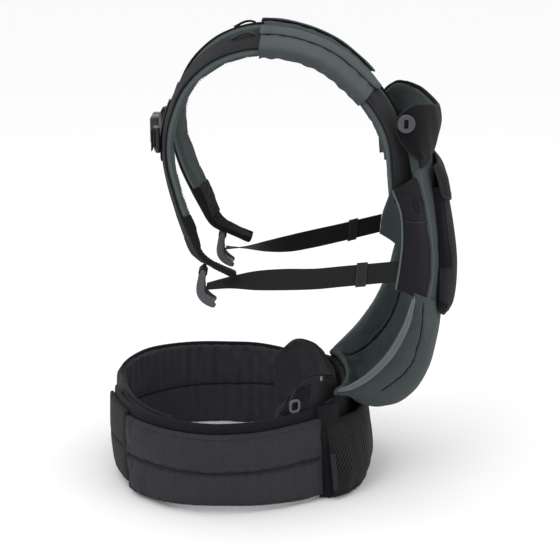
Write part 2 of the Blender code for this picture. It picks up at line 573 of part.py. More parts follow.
for side_name, web, y_sign, lean in (("right", web_right, 1.0, 0.0),
                                     ("left", web_left, -1.0, FORWARD_LEAN)):
    core = (0.0, 0.0, 0.27)
    patch("side_webbing_" + side_name, web, (0.0, 1.0), (0.0, 1.0), (18, 1),
          WEBBING / 2, -WEBBING / 2, core, edge=1.0)
    cuff("webbing_keeper_" + side_name, web, (0.790, 0.845), 1, core, 0.0013, -0.0013,
         0.0010, 0.0010)
    # Ladder lock: a curved plate with three slots, hanging in its loop.
    spine = [(-0.0870, 0.2862), (-0.0890, 0.2780), (-0.0904, 0.2690), (-0.0902, 0.2610),
             (-0.0872, 0.2545), (-0.0815, 0.2492), (-0.0750, 0.2455)]
    spine = [Vector((x - 0.003 + lean, 0.0, z - 0.002)) for x, z in spine]
    front_side = []
    back_side = []
    for i, point in enumerate(spine):
        ahead = spine[min(i + 1, 6)] - spine[max(i - 1, 0)]
        across = Vector((-ahead.z, 0.0, ahead.x)).normalized() * (0.0016 - 0.0001 * i)
        front_side.append((point.x + across.x, point.z + across.z))
        back_side.append((point.x - across.x, point.z - across.z))
    y_mid = -0.096 * y_sign
    lock = extruded("ladder_lock_" + side_name, front_side + back_side[::-1],
                    y_mid - LOCK_WIDTH / 2, y_mid + LOCK_WIDTH / 2)
    for tag_name, z, tall, wide in (("top", 0.2769, 0.0030, 0.0225),
                                    ("upper", 0.2674, 0.0028, 0.0265),
                                    ("lower", 0.2586, 0.0028, 0.0265)):
        cut(lock, "cut_lock_" + side_name + "_" + tag_name, (0.020, wide, tall),
            (-0.0925 + lean, y_mid, z))
    for node, x, z, r_in, r_out, wide in (
            ("lock_loop_", -0.0907, 0.2813, 0.0042, 0.0053, 0.0200),
            ("webbing_turn_", -0.0934, 0.2630, 0.0042, 0.0053, 0.0245)):
        band = cylinder(node + side_name, r_out, wide, (x + lean, y_mid, z),
                        turn=(math.radians(90), 0.0, 0.0), sides=16)
        hole = cylinder("cut_" + node + side_name, r_in, 0.06, (x + lean, y_mid, z),
                        turn=(math.radians(90), 0.0, 0.0), sides=16)
        parts.objects.unlink(hole)
        cutters.objects.link(hole)
        hole.hide_render = True
        hole.display_type = "WIRE"
        bore = band.modifiers.new("bore", "BOOLEAN")
        bore.operation = "DIFFERENCE"
        bore.solver = "EXACT"
        bore.object = hole

# ---------------------------------------------------------------- back strap
for side_name, strap, y_sign in (("right", right_strap, 1.0), ("left", left_strap, -1.0)):
    arm = (0.0, -0.09 * y_sign, 0.44)
    patch("back_rail_" + side_name, strap, (15 / 22, 18 / 22), (0.20, 0.36), (3, 1),
          0.0052, 0.0035, arm, edge=1.0)
    box("back_slider_" + side_name, (0.0055, 0.0160, 0.0300),
        (-0.1431, -0.0815 * y_sign, 0.4360), bevel=0.0012,
        turn=(0.0, 0.0, math.radians(12.7) * y_sign))
BACK_X = -0.1488
box("back_webbing_right", (WEBBING, 0.0715, WEBBING_WIDTH), (BACK_X, -0.0548, 0.4360))
box("back_webbing_left", (WEBBING, 0.0780, WEBBING_WIDTH), (BACK_X, 0.0515, 0.4360))
female = box("back_buckle_female", (BUCKLE[0], 0.0280, BUCKLE[1]), (-0.1512, -0.0040, 0.4360),
             bevel=0.0020)
cut(female, "cut_buckle_mouth", (0.0050, 0.0240, 0.0255), (-0.1532, 0.0000, 0.4360))
male = box("back_buckle_male", (BUCKLE[0], 0.0180, BUCKLE[1]), (-0.1512, 0.0196, 0.4360),
           bevel=0.0020)
for index, z in enumerate((0.4265, 0.4360, 0.4455)):
    prong = box("prong_%d" % index, (0.0030, 0.0240, 0.0040), (-0.1532, 0.0030, z),
                into=cutters)
    prong.hide_render = True
    prong.display_type = "WIRE"
    join = male.modifiers.new("prong_%d" % index, "BOOLEAN")
    join.operation = "UNION"
    join.solver = "EXACT"
    join.object = prong
cut(male, "cut_buckle_slot", (0.0024, 0.0400, 0.0262), (BACK_X, 0.0196, 0.4360))

# ---------------------------------------------------------------- materials
NODE_FINISH = (
    ("belt_wing", "charcoal_fabric"), ("belt_cover", "charcoal_fabric"),
    ("belt_loop_tape", "pile_fabric"), ("belt_hook", "pile_fabric"),
    ("belt_pocket", "mesh_fabric"), ("belt_tag", "label_fabric"),
    ("belt_adjuster_ring", "grey_plastic"), ("belt_adjuster_webbing", "black_webbing"),
    ("seat_bucket", "green_fabric"), ("leg_edge", "green_fabric"),
    ("body_panel", "green_fabric"), ("head_support_lining", "green_fabric"),
    ("strap_lining", "green_fabric"), ("strap_sleeve", "green_fabric"),
    ("sleeve_flap", "green_fabric"), ("head_button", "grey_plastic"),
    ("ladder_lock", "grey_plastic"), ("back_buckle", "black_plastic"),
    ("back_slider", "black_plastic"), ("back_webbing", "black_webbing"),
    ("back_rail", "black_webbing"), ("side_webbing", "black_webbing"),
    ("webbing_", "black_webbing"), ("lock_loop", "black_webbing"),
    ("strap_loop", "black_webbing"), ("strap_end", "pile_fabric"),
    ("", "black_fabric"),
)


def own_material(obj):
    """Give a piece a material of its own, in the finish that its name calls for."""
    kind = next(finish for start, finish in NODE_FINISH if obj.name.startswith(start))
    colour, roughness, metallic = FINISHES[kind]
    material = bpy.data.materials.new(obj.name + "_" + kind)
    material.use_nodes = True
    shader = material.node_tree.nodes["Principled BSDF"]
    shader.inputs["Base Color"].default_value = (*colour, 1.0)
    shader.inputs["Roughness"].default_value = roughness
    shader.inputs["Metallic"].default_value = metallic
    material.diffuse_color = (*colour, 1.0)
    obj.data.materials.clear()
    obj.data.materials.append(material)


pieces = sorted(parts.objects, key=lambda obj: obj.name)
for piece in pieces:
    own_material(piece)

# ---------------------------------------------------------------- joint axes
LOCK_PIVOT = Vector((-0.0907, -0.0960, 0.2813))


def pivot(name, place, children):
    """Empty on a joint's axis that carries the pieces moving about it."""
    empty = bpy.data.objects.new(name, None)
    empty.empty_display_size = 0.02
    empty.location = place
    parts.objects.link(empty)
    for child in children:
        obj = bpy.data.objects[child]
        obj.parent = empty
        obj.matrix_parent_inverse = Matrix.Translation(-Vector(place))
    return empty


pivot("pivot_belt_wing_right", (0.053, -0.106, 0.055),
      ("belt_wing_right", "belt_cover_right", "belt_loop_tape_right"))
pivot("pivot_belt_wing_left", (0.053, 0.106, 0.055), ("belt_wing_left", "belt_hook_patch"))
pivot("pivot_head_support", (0.186, 0.0, 0.414),
      ("head_support", "head_support_lining", "head_button_right", "head_button_left"))
pivot("pivot_pocket_flap", (0.187, 0.0, 0.409), ("pocket_flap",))
pivot("pivot_ladder_lock_right", LOCK_PIVOT, ("ladder_lock_right", "webbing_turn_right"))
pivot("pivot_ladder_lock_left", (LOCK_PIVOT.x + FORWARD_LEAN, -LOCK_PIVOT.y, LOCK_PIVOT.z),
      ("ladder_lock_left", "webbing_turn_left"))
pivot("pivot_keeper_right", spot(web_right, 0.8175, 0.5), ("webbing_keeper_right",))
pivot("pivot_keeper_left", spot(web_left, 0.8175, 0.5), ("webbing_keeper_left",))
pivot("pivot_back_strap", (BACK_X, 0.0, 0.436),
      ("back_slider_right", "back_slider_left", "back_webbing_right", "back_webbing_left",
       "back_buckle_female"))
pivot("pivot_back_clip", (BACK_X, 0.0196, 0.436), ("back_buckle_male",))
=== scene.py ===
"""Looks of the baby carrier: fabric, foam, webbing, stitching and plastic around the fixed
frame.  Metres, +Z up, +X the wearer's forward direction, -Y the wearer's right."""
import json
import math

import bpy
import numpy as np
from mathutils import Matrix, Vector

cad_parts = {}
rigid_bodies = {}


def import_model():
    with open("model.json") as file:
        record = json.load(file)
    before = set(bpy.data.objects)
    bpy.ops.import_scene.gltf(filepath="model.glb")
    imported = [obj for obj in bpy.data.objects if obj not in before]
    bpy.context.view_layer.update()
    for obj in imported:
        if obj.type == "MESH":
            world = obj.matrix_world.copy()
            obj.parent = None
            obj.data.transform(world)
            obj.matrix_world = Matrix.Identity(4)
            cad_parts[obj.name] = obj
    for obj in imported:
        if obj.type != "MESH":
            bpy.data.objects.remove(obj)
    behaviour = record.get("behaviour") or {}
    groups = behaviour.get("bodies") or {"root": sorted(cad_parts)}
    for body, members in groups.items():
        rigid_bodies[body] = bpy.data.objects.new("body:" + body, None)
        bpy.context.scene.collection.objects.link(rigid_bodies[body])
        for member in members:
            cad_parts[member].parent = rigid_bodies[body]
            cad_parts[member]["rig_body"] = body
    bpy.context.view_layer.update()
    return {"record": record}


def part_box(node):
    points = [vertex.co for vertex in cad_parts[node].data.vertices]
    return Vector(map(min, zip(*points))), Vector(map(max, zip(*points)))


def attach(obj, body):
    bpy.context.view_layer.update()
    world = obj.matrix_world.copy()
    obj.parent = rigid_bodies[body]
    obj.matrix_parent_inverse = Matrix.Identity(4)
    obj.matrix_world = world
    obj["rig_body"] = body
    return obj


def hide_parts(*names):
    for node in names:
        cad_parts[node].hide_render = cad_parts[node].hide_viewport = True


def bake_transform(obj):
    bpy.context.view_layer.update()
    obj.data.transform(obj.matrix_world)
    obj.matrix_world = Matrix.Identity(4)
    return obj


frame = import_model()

BODY_OF = {node: body for body, nodes in frame["record"]["behaviour"]["bodies"].items()
           for node in nodes}
SLOT_OF = {row["node"]: row["material_slot"] for row in frame["record"]["subparts"]}
ALL = (0.0, 1.0)             # a panel that covers its whole sheet, along or across
UV_NAME = "cloth"            # surface coordinates in metres: along and across each piece
UP = np.array([0.0, 0.0, 1.0])
SEAM_HOLD = 0.0022           # cloth nearer than this to a seam is held by it
CLOTH_FRAMES = 20            # length of the cloth simulation
HEM_ROWS = (2, -3)           # rows of a cuff's mesh that carry its end stitches
WEBBING = 0.0014             # webbing thickness
FORWARD_LEAN = 0.016         # how much further forward the left strap's end hangs
FOAM = 0.0090                # shoulder strap foam
ON_FLOOR = ("wing_", "belt_")  # pieces whose lowest edges rest on the floor


# ================================================================ curves and sheets
def padded_ends(points, axis):
    """Adds one extrapolated point at each end of a row of control points."""
    p = np.moveaxis(points, axis, 0)
    p = np.concatenate([[2 * p[0] - p[1]], p, [2 * p[-1] - p[-2]]])
    return np.moveaxis(p, 0, axis)


def weights(t, spans):
    """Index of the first control point and the four spline weights at share t."""
    place = np.clip(t, 0.0, 1.0) * spans
    i = np.minimum(place.astype(int), spans - 1)
    f = place - i
    w = np.stack([-0.5 * f + f ** 2 - 0.5 * f ** 3, 1 - 2.5 * f ** 2 + 1.5 * f ** 3,
                  0.5 * f + 2 * f ** 2 - 1.5 * f ** 3, -0.5 * f ** 2 + 0.5 * f ** 3], -1)
    extra = (np.minimum(t, 0.0) + np.maximum(t - 1.0, 0.0)) * spans
    w[..., 1] -= extra
    w[..., 2] += extra
    return i, w


def curve(points, t):
    """Smooth curve through evenly spaced points, at the shares t."""
    p = padded_ends(np.asarray(points, float), 0)
    i, w = weights(np.asarray(t, float), len(points) - 1)
    return sum(p[i + m] * w[..., m, None] for m in range(4))


def on_sheet(sheet, u, v):
    """Points of a sheet, whose rows are rails, at share u along them and v across them."""
    u, v = np.broadcast_arrays(np.asarray(u, float), np.asarray(v, float))
    shape = u.shape
    u, v = u.ravel(), v.ravel()
    p = padded_ends(padded_ends(sheet, 0), 1)
    i, w = weights(u, sheet.shape[1] - 1)
    rows = sum(p[:, i + m] * w[:, m, None] for m in range(4))
    j, w = weights(v, sheet.shape[0] - 1)
    k = np.arange(len(u))
    return sum(rows[j + m, k] * w[:, m, None] for m in range(4)).reshape(*shape, 3)


def unit(vectors):
    return vectors / np.maximum(np.linalg.norm(vectors, axis=-1, keepdims=True), 1e-12)


def length_of(path):
    """Length of a path in metres."""
    return np.linalg.norm(np.diff(path, axis=0), axis=1).sum()


def distances(path):
    """Distance along a path to each of its points."""
    return np.concatenate([[0], np.cumsum(np.linalg.norm(np.diff(path, axis=0), axis=1))])


def circle(count):
    """Angles of count points around a circle."""
    return np.linspace(0, 2 * math.pi, count, endpoint=False)


def boxy(t, power_x, power_y):
    """Unit circle at the angles t, drawn towards a square by powers below 1."""
    x, y = np.cos(t), np.sin(t)
    return np.sign(x) * np.abs(x) ** power_x, np.sign(y) * np.abs(y) ** power_y


def sheet_normals(sheet, u, v):
    d = 0.004
    u, v = np.clip(u, 0, 1), np.clip(v, 0, 1)
    du = on_sheet(sheet, np.minimum(u + d, 1), v) - on_sheet(sheet, np.maximum(u - d, 0), v)
    dv = on_sheet(sheet, u, np.minimum(v + d, 1)) - on_sheet(sheet, u, np.maximum(v - d, 0))
    return unit(np.cross(du, dv))


def outward_sign(sheet, u, v, inside):
    """1 if the sheet's normal at (u, v) points away from a place inside it, else -1."""
    away = on_sheet(sheet, u, v) - np.array(inside)
    return 1.0 if sheet_normals(sheet, np.array(u), np.array(v)) @ away > 0 else -1.0


def rails(*rows):
    """Sheet, or line, from rows of points that are given in millimetres."""
    return np.array(rows, float) / 1000


def mirrored(sheet):
    return sheet * np.array([1.0, -1.0, 1.0])


def whole(half):
    """Both halves of a symmetric sheet from the rails of its right half, edge to centre."""
    return np.concatenate([half, mirrored(half)[-2::-1]])


def smooth(x):
    x = np.clip(x, 0.0, 1.0)
    return x * x * (3 - 2 * x)


def ripple(x, y, size, seed, stretch=1.0, waves=7):
    """Soft irregular waves about -1 to 1, size metres apart and longer along y by stretch."""
    rng = np.random.default_rng(seed)
    total = 0.0
    for _ in range(waves):
        angle = rng.uniform(-0.9, 0.9)
        k = 2 * math.pi / (size * rng.uniform(0.7, 1.5))
        total = total + np.sin(k * (x * math.cos(angle) + y * math.sin(angle) / stretch)
                               + rng.uniform(0, 6.3) + 1.3 * np.sin(y / size / stretch * 2
                                                                    + rng.uniform(0, 6.3)))
    return total / (waves ** 0.5) / 1.2


# ================================================================ meshes
def mesh_object(name, points, faces, uv=None):
    """Object from points and faces (an array of quads, or lists), with UVs per point."""
    mesh = bpy.data.meshes.new(name)
    points = np.array(points, float)
    points[:, 2] = np.maximum(points[:, 2], 0.0) if name.startswith(ON_FLOOR) else points[:, 2]
    mesh.from_pydata(points.tolist(), [],
                     faces.tolist() if isinstance(faces, np.ndarray) else faces)
    mesh.validate()
    if uv is not None:
        layer = mesh.uv_layers.new(name=UV_NAME)
        corner = np.zeros(len(mesh.loops), np.int32)
        mesh.loops.foreach_get("vertex_index", corner)
        layer.data.foreach_set("uv", np.asarray(uv, np.float32)[corner].ravel())
    mesh.shade_smooth()
    obj = bpy.data.objects.new(name, mesh)
    bpy.context.scene.collection.objects.link(obj)
    return obj


def coordinates(mesh):
    """Places of a mesh's points, one row each."""
    flat = np.zeros(len(mesh.vertices) * 3, np.float32)
    mesh.vertices.foreach_get("co", flat)
    return flat.reshape(-1, 3)


def outward(obj):
    """Turns the faces of a closed mesh so that they point out."""
    mesh = obj.data
    mesh.calc_loop_triangles()
    tri = np.zeros(len(mesh.loop_triangles) * 3, np.int32)
    mesh.loop_triangles.foreach_get("vertices", tri)
    p = coordinates(mesh)[tri.reshape(-1, 3)].astype(float)
    if np.einsum("ij,ij->i", p[:, 0], np.cross(p[:, 1], p[:, 2])).sum() < 0:
        mesh.flip_normals()
    return obj


def stops(length, step, rim, seams=()):
    """Shares along a side: close together in the rim and at seams, a step apart elsewhere."""
    rim = min(rim, 0.3 * length)
    near = rim * np.array([0.0, 0.07, 0.26, 0.58])
    count = max(int(round((length - 2 * rim) / step)), 2)
    middle = np.linspace(rim, length - rim, count + 1)
    shares = np.concatenate([near, middle, (length - near)[::-1]]) / length
    for seam in seams:
        fine = seam + np.array([-0.0026, -0.0012, 0.0, 0.0012, 0.0026]) / length
        cleared = 0.0036 / length
        shares = shares[np.abs(shares - seam) > cleared]
        shares = np.sort(np.concatenate([shares, fine]))
    return shares


class Panel:
    """Cloth panel lying on a sheet, between two offsets along the sheet's normals."""

    def __init__(self, sheet, u_range, v_range, outer, inner, inside, rim=None):
        self.sheet = sheet
        self.u0, self.u1 = u_range
        self.v0, self.v1 = v_range
        self.outer, self.inner = outer, inner
        self.middle = (outer + inner) / 2
        self.rim = rim or (outer - inner) / 2
        self.trim = None
        self.sign = outward_sign(sheet, (self.u0 + self.u1) / 2, (self.v0 + self.v1) / 2, inside)
        t = np.linspace(0, 1, 60)
        self.length = length_of(self.base(t, 0.5))
        self.height = length_of(self.base(0.5, t))
        self.rise = self.drop = None

    def uv(self, a, b):
        a, b = np.broadcast_arrays(np.asarray(a, float), np.asarray(b, float))
        if self.trim:
            b = b * self.trim(a)
        return self.u0 + (self.u1 - self.u0) * a, self.v0 + (self.v1 - self.v0) * b

    def base(self, a, b):
        return on_sheet(self.sheet, *self.uv(a, b))

    def normals(self, a, b):
        return sheet_normals(self.sheet, *self.uv(a, b)) * self.sign

    def roundness(self, a, b):
        """0 at the borders, rising like a quarter circle to 1 past the rim."""
        edge = np.minimum(np.minimum(a, 1 - a) * self.length, np.minimum(b, 1 - b) * self.height)
        t = np.clip(edge / self.rim, 0.0, 1.0)
        return np.sqrt(np.maximum(1 - (1 - t) ** 2, 0.0))

    def place(self, a, b, side=1, lift=0.0):
        """Points of the outer (side 1) or inner (side -1) face, lifted off it."""
        a, b = np.broadcast_arrays(np.asarray(a, float), np.asarray(b, float))
        full = self.roundness(a, b)
        if side > 0:
            offset = self.middle + (self.outer - self.middle) * full
            offset = offset + (self.rise(a, b) * full if self.rise else 0.0) + lift
        else:
            offset = self.middle + (self.inner - self.middle) * full
            offset = offset + (self.drop(a, b) * full if self.drop else 0.0) - lift
        return self.base(a, b) + self.normals(a, b) * offset[..., None]

    def build(self, name, step=0.003, rise=None, drop=None, seams=()):
        """Closed mesh: a fine outer and inner face that share their border points."""
        self.rise, self.drop = rise, drop
        a = stops(self.length, step, self.rim)
        b = stops(self.height, step, self.rim, seams)
        grid_a, grid_b = np.meshgrid(a, b, indexing="ij")
        top = self.place(grid_a, grid_b, 1)
        low = self.place(grid_a, grid_b, -1)
        n, m = grid_a.shape
        border = np.ones((n, m), bool)
        border[1:-1, 1:-1] = False
        top_id = np.arange(n * m).reshape(n, m)
        low_id = top_id.copy()
        low_id[~border] = n * m + np.arange((~border).sum())
        points = np.concatenate([top.reshape(-1, 3), low[~border]])
        uv = np.stack([grid_a * self.length, grid_b * self.height], -1)
        uv = np.concatenate([uv.reshape(-1, 2), uv[~border] + np.array([0.37, 0.0])])
        faces = [np.stack([g[:-1, :-1], g[1:, :-1], g[1:, 1:], g[:-1, 1:]], -1).reshape(-1, 4)
                 for g in (top_id, low_id)]
        faces[1] = faces[1][:, ::-1]
        obj = mesh_object(name, points, np.concatenate(faces), uv)
        self.held = np.unique(np.concatenate([top_id[border], low_id[border]]))
        self.shares = np.concatenate([np.stack([grid_a, grid_b], -1).reshape(-1, 2),
                                      np.stack([grid_a, grid_b], -1)[~border]])
        self.is_top = np.arange(len(points)) < n * m
        return outward(obj)

    def flat_size(self):
        """Width, length and area of the cut piece."""
        t = np.linspace(0, 1, 40)
        grid = self.base(t[:, None], t[None, :])
        du = np.linalg.norm(np.diff(grid, axis=0), axis=2).sum(0)
        dv = np.linalg.norm(np.diff(grid, axis=1), axis=2).sum(1)
        e = np.cross(grid[1:, :-1] - grid[:-1, :-1], grid[:-1, 1:] - grid[:-1, :-1])
        return du.max(), dv.max(), np.linalg.norm(e, axis=2).sum()


def ring_profile(wide, tall, sides=12, square=0.0):
    """Oval cross-section; square above 0 makes it boxier."""
    power = 1.0 - 0.6 * square
    x, y = boxy(circle(sides), power, power)
    return np.stack([x * wide / 2, y * tall / 2], -1)


def strap_profile(wide, tall, across=10):
    """Flat band with round edges."""
    x = np.linspace(-wide / 2 + tall / 2, wide / 2 - tall / 2, across)
    t = np.linspace(-math.pi / 2, math.pi / 2, 5)[1:-1]
    right = np.stack([x[-1] + np.cos(t) * tall / 2, np.sin(t) * tall / 2], -1)
    low = np.stack([x, np.full(across, -tall / 2)], -1)
    high = np.stack([x[::-1], np.full(across, tall / 2)], -1)
    left = np.stack([x[0] - np.cos(t) * tall / 2, -np.sin(t) * tall / 2], -1)
    return np.concatenate([low, right, high, left])


def tube_quads(ids):
    """Quads between neighbouring rings of point numbers, closed around each ring."""
    beside = np.roll(ids, -1, 1)
    return np.stack([ids[:-1], beside[:-1], beside[1:], ids[1:]], -1).reshape(-1, 4)


def sweep(name, path, up, profile, closed=False, scale=None, end_round=0.5):
    """Band or tube with a cross-section (across, up) that follows a path."""
    path = np.asarray(path, float)
    if closed:
        ahead = unit(np.roll(path, -1, 0) - np.roll(path, 1, 0))
    else:
        ahead = unit(np.gradient(path, axis=0))
    up = np.broadcast_to(np.asarray(up, float), path.shape)
    side = unit(np.cross(up, ahead))
    up = np.cross(ahead, side)
    scale = np.ones(len(path)) if scale is None else np.asarray(scale, float)
    if not closed:
        reach = np.abs(profile[:, 1]).max() * end_round
        path = np.concatenate([[path[0] - ahead[0] * reach], path, [path[-1] + ahead[-1] * reach]])
        side = np.concatenate([side[:1], side, side[-1:]])
        up = np.concatenate([up[:1], up, up[-1:]])
        scale = np.concatenate([[scale[0] * 0.55], scale, [scale[-1] * 0.55]])
    rings = (path[:, None] + side[:, None] * profile[None, :, :1] * scale[:, None, None]
             + up[:, None] * profile[None, :, 1:] * scale[:, None, None])
    n, m = rings.shape[:2]
    ids = np.arange(n * m).reshape(n, m)
    if closed:
        ids = np.concatenate([ids, ids[:1]])
    faces = tube_quads(ids).tolist()
    if not closed:
        faces += [ids[0][::-1].tolist(), ids[-1].tolist()]
    grid = np.meshgrid(distances(path), distances(profile), indexing="ij")
    uv = np.stack(grid, -1).reshape(-1, 2)
    return outward(mesh_object(name, rings.reshape(-1, 3), faces, uv))


def puff(obj, panel, seams=(), pressure=3.0, growth=0.03, cap=0.004, inner_cap=0.001):
    """Cloth simulation: the cover, cut a little large and held at its seams, fills out.

    seams are (a, b) polylines in the panel's shares; the result is kept in the mesh."""
    size = np.array([panel.length, panel.height])
    held = set(panel.held.tolist())
    for line in seams:
        near = seam_distance(panel.shares[:, 0], panel.shares[:, 1], line, size) < SEAM_HOLD
        held |= set(np.nonzero(near)[0].tolist())
    mesh = obj.data
    before = coordinates(mesh)
    group = obj.vertex_groups.new(name="held")
    group.add(sorted(held), 1.0, "REPLACE")
    cloth = obj.modifiers.new("puff", "CLOTH")
    cloth.collision_settings.use_collision = False
    settings = cloth.settings
    settings.quality = 5
    settings.mass = 0.3
    settings.tension_stiffness = 20
    settings.compression_stiffness = 20
    settings.shear_stiffness = 8
    settings.bending_stiffness = 0.6
    settings.use_pressure = True
    settings.uniform_pressure_force = pressure
    settings.shrink_min = -growth
    settings.effector_weights.gravity = 0.0
    settings.vertex_group_mass = "held"
    scene = bpy.context.scene
    for step in range(1, CLOTH_FRAMES + 1):
        scene.frame_set(step)
    settled = obj.evaluated_get(bpy.context.evaluated_depsgraph_get())
    move = coordinates(settled.data) - before
    far = np.linalg.norm(move, axis=1, keepdims=True)
    limit = np.where(panel.is_top, cap, inner_cap)[:, None]
    move = move / np.maximum(far, 1e-9) * (limit * np.tanh(far / limit))
    obj.modifiers.clear()
    obj.vertex_groups.clear()
    after = before + move
    after[:, 2] = np.maximum(after[:, 2], 0.0)
    mesh.vertices.foreach_set("co", after.ravel())
    mesh.update()
    scene.frame_set(1)


def seam_distance(a, b, line, size):
    """Distance in metres from (a, b) shares to a polyline of shares."""
    p = np.stack([np.asarray(a, float), np.asarray(b, float)], -1) * size
    line = np.asarray(line, float) * size
    best = np.full(p.shape[:-1], 1e9)
    for start, end in zip(line, line[1:]):
        d = end - start
        t = np.clip(((p - start) @ d) / max(d @ d, 1e-12), 0, 1)
        best = np.minimum(best, np.linalg.norm(p - start - t[..., None] * d, axis=-1))
    return best


# ================================================================ materials
class Shader:
    """Short-hand for building one procedural Principled material."""

    def __init__(self, name):
        self.material = bpy.data.materials.new(name)
        self.material.use_nodes = True
        self.tree = self.material.node_tree
        self.bsdf = self.tree.nodes["Principled BSDF"]
        uv = self.tree.nodes.new("ShaderNodeUVMap")
        uv.uv_map = UV_NAME
        self.uv = uv.outputs["UV"]
        self.object = self.tree.nodes.new("ShaderNodeTexCoord").outputs["Object"]

    def link(self, value, socket):
        if hasattr(value, "links"):
            self.tree.links.new(value, socket)
        else:
            socket.default_value = value

    def math(self, operation, x, y=0.0, z=0.0):
        node = self.tree.nodes.new("ShaderNodeMath")
        node.operation = operation
        for value, socket in zip((x, y, z), node.inputs):
            self.link(value, socket)
        return node.outputs[0]

    def times(self, x, y):
        return self.math("MULTIPLY", x, y)

    def minus(self, x, y):
        return self.math("SUBTRACT", x, y)

    def madd(self, x, factor, added):
        return self.math("MULTIPLY_ADD", x, factor, added)

    def shaded(self, tone, colour, share=0.5, reach=2.0):
        """Black where the tone is 0, up to reach times the colour where tone times share is 1."""
        return self.blend(self.times(tone, share), (0.0, 0.0, 0.0), tint(colour, reach))

    def scaled(self, vector, scale):
        node = self.tree.nodes.new("ShaderNodeMapping")
        node.inputs["Scale"].default_value = scale
        self.link(vector, node.inputs["Vector"])
        return node.outputs[0]

    def split(self, vector):
        node = self.tree.nodes.new("ShaderNodeSeparateXYZ")
        self.link(vector, node.inputs[0])
        return node.outputs[0], node.outputs[1]

    def noise(self, vector, scale, detail=2.0, rough=0.5):
        node = self.tree.nodes.new("ShaderNodeTexNoise")
        self.link(vector, node.inputs["Vector"])
        node.inputs["Scale"].default_value = scale
        node.inputs["Detail"].default_value = detail
        node.inputs["Roughness"].default_value = rough
        return node.outputs["Fac"]

    def wave(self, coordinate, pitch, phase=0.0):
        """0 to 1 sine along a coordinate, one cycle each pitch metres."""
        turned = self.madd(coordinate, 2 * math.pi / pitch, phase)
        return self.madd(self.math("SINE", turned), 0.5, 0.5)

    def blend(self, factor, low, high):
        node = self.tree.nodes.new("ShaderNodeMix")
        node.data_type = "RGBA"
        self.link(factor, node.inputs[0])
        for socket, value in ((node.inputs[6], low), (node.inputs[7], high)):
            self.link((*value, 1.0) if isinstance(value, tuple) else value, socket)
        return node.outputs[2]

    def bump(self, height, distance, strength=1.0, normal=None):
        node = self.tree.nodes.new("ShaderNodeBump")
        self.link(height, node.inputs["Height"])
        node.inputs["Distance"].default_value = distance
        node.inputs["Strength"].default_value = strength
        if normal is not None:
            self.link(normal, node.inputs["Normal"])
        return node.outputs[0]

    def finish(self, colour, roughness, normal=None, sheen=0.0, specular=0.14, coat=0.0):
        self.link(colour, self.bsdf.inputs["Base Color"])
        self.link(roughness, self.bsdf.inputs["Roughness"])
        self.bsdf.inputs["Specular IOR Level"].default_value = specular
        self.bsdf.inputs["Sheen Weight"].default_value = sheen
        self.bsdf.inputs["Sheen Roughness"].default_value = 0.5
        self.bsdf.inputs["Coat Weight"].default_value = coat
        if normal is not None:
            self.link(normal, self.bsdf.inputs["Normal"])
        return self.material


def tint(colour, factor):
    return tuple(min(c * factor, 1.0) for c in colour)


def woven(name, colour, pitch=0.0016, kind="plain", depth=0.00022, contrast=0.35,
          mottling=0.25, sheen=0.04, roughness=0.88, ripstop=0.0):
    """Woven cloth: yarns that cross, uneven dye, faint lint and a fine bump."""
    s = Shader(name)
    x, y = s.split(s.uv)
    if kind == "plain":
        a = s.wave(x, pitch)
        b = s.wave(y, pitch * 0.9)
        height = s.math("ADD", s.times(a, b),
                        s.times(s.minus(1.0, a), s.minus(1.0, b)))
    elif kind == "rib":
        a = s.wave(x, pitch)
        b = s.wave(y, pitch * 0.6)
        height = s.madd(b, 0.35, s.times(a, 0.65))
    else:
        a = s.wave(s.math("ADD", x, y), pitch)
        b = s.wave(s.minus(x, y), pitch * 0.5)
        height = s.madd(b, 0.25, s.times(a, 0.75))
    if ripstop:
        for axis in (x, y):
            line = s.math("POWER", s.wave(axis, ripstop), 14.0)
            height = s.madd(line, 0.16, height)
    slub = s.noise(s.scaled(s.uv, (260.0, 900.0, 1.0)), 1.0, 3.0)
    patchy = s.noise(s.object, 24.0, 3.0, 0.6)
    tone = s.madd(height, contrast, 1.0 - contrast * 0.6)
    tone = s.times(tone, s.madd(slub, 0.5, 0.75))
    tone = s.times(tone, s.madd(patchy, mottling, 1 - mottling / 2))
    base = s.shaded(tone, colour)
    fine = s.noise(s.scaled(s.uv, (1400.0, 1400.0, 1.0)), 1.0, 1.0)
    normal = s.bump(s.madd(fine, 0.4, height), depth)
    normal = s.bump(s.noise(s.object, 55.0, 3.0), 0.0009, 0.35, normal)
    rough = s.madd(slub, 0.12, roughness - 0.06)
    return s.finish(base, rough, normal, sheen=sheen)


def webbing_material(name, colour, pitch=0.0017, edge=0.025):
    """Flat webbing: ribs across it and a herringbone of yarns; edge, the selvedge width, is not
    used.
    """
    s = Shader(name)
    x, y = s.split(s.uv)
    rib = s.wave(x, pitch)
    zigzag = s.math("ABSOLUTE", s.minus(s.math("FRACT", s.math("DIVIDE", y, 0.0085)), 0.5))
    yarn = s.wave(s.madd(zigzag, 0.0050, x), pitch)
    height = s.madd(yarn, 0.6, s.times(rib, 0.4))
    grain = s.noise(s.scaled(s.uv, (600.0, 1500.0, 1.0)), 1.0, 2.0)
    tone = s.madd(height, 0.5, 0.65)
    tone = s.times(tone, s.madd(grain, 0.5, 0.75))
    base = s.shaded(tone, colour)
    normal = s.bump(s.madd(grain, 0.3, height), 0.00028)
    return s.finish(base, s.madd(grain, 0.2, 0.62), normal, sheen=0.03,
                    specular=0.2)


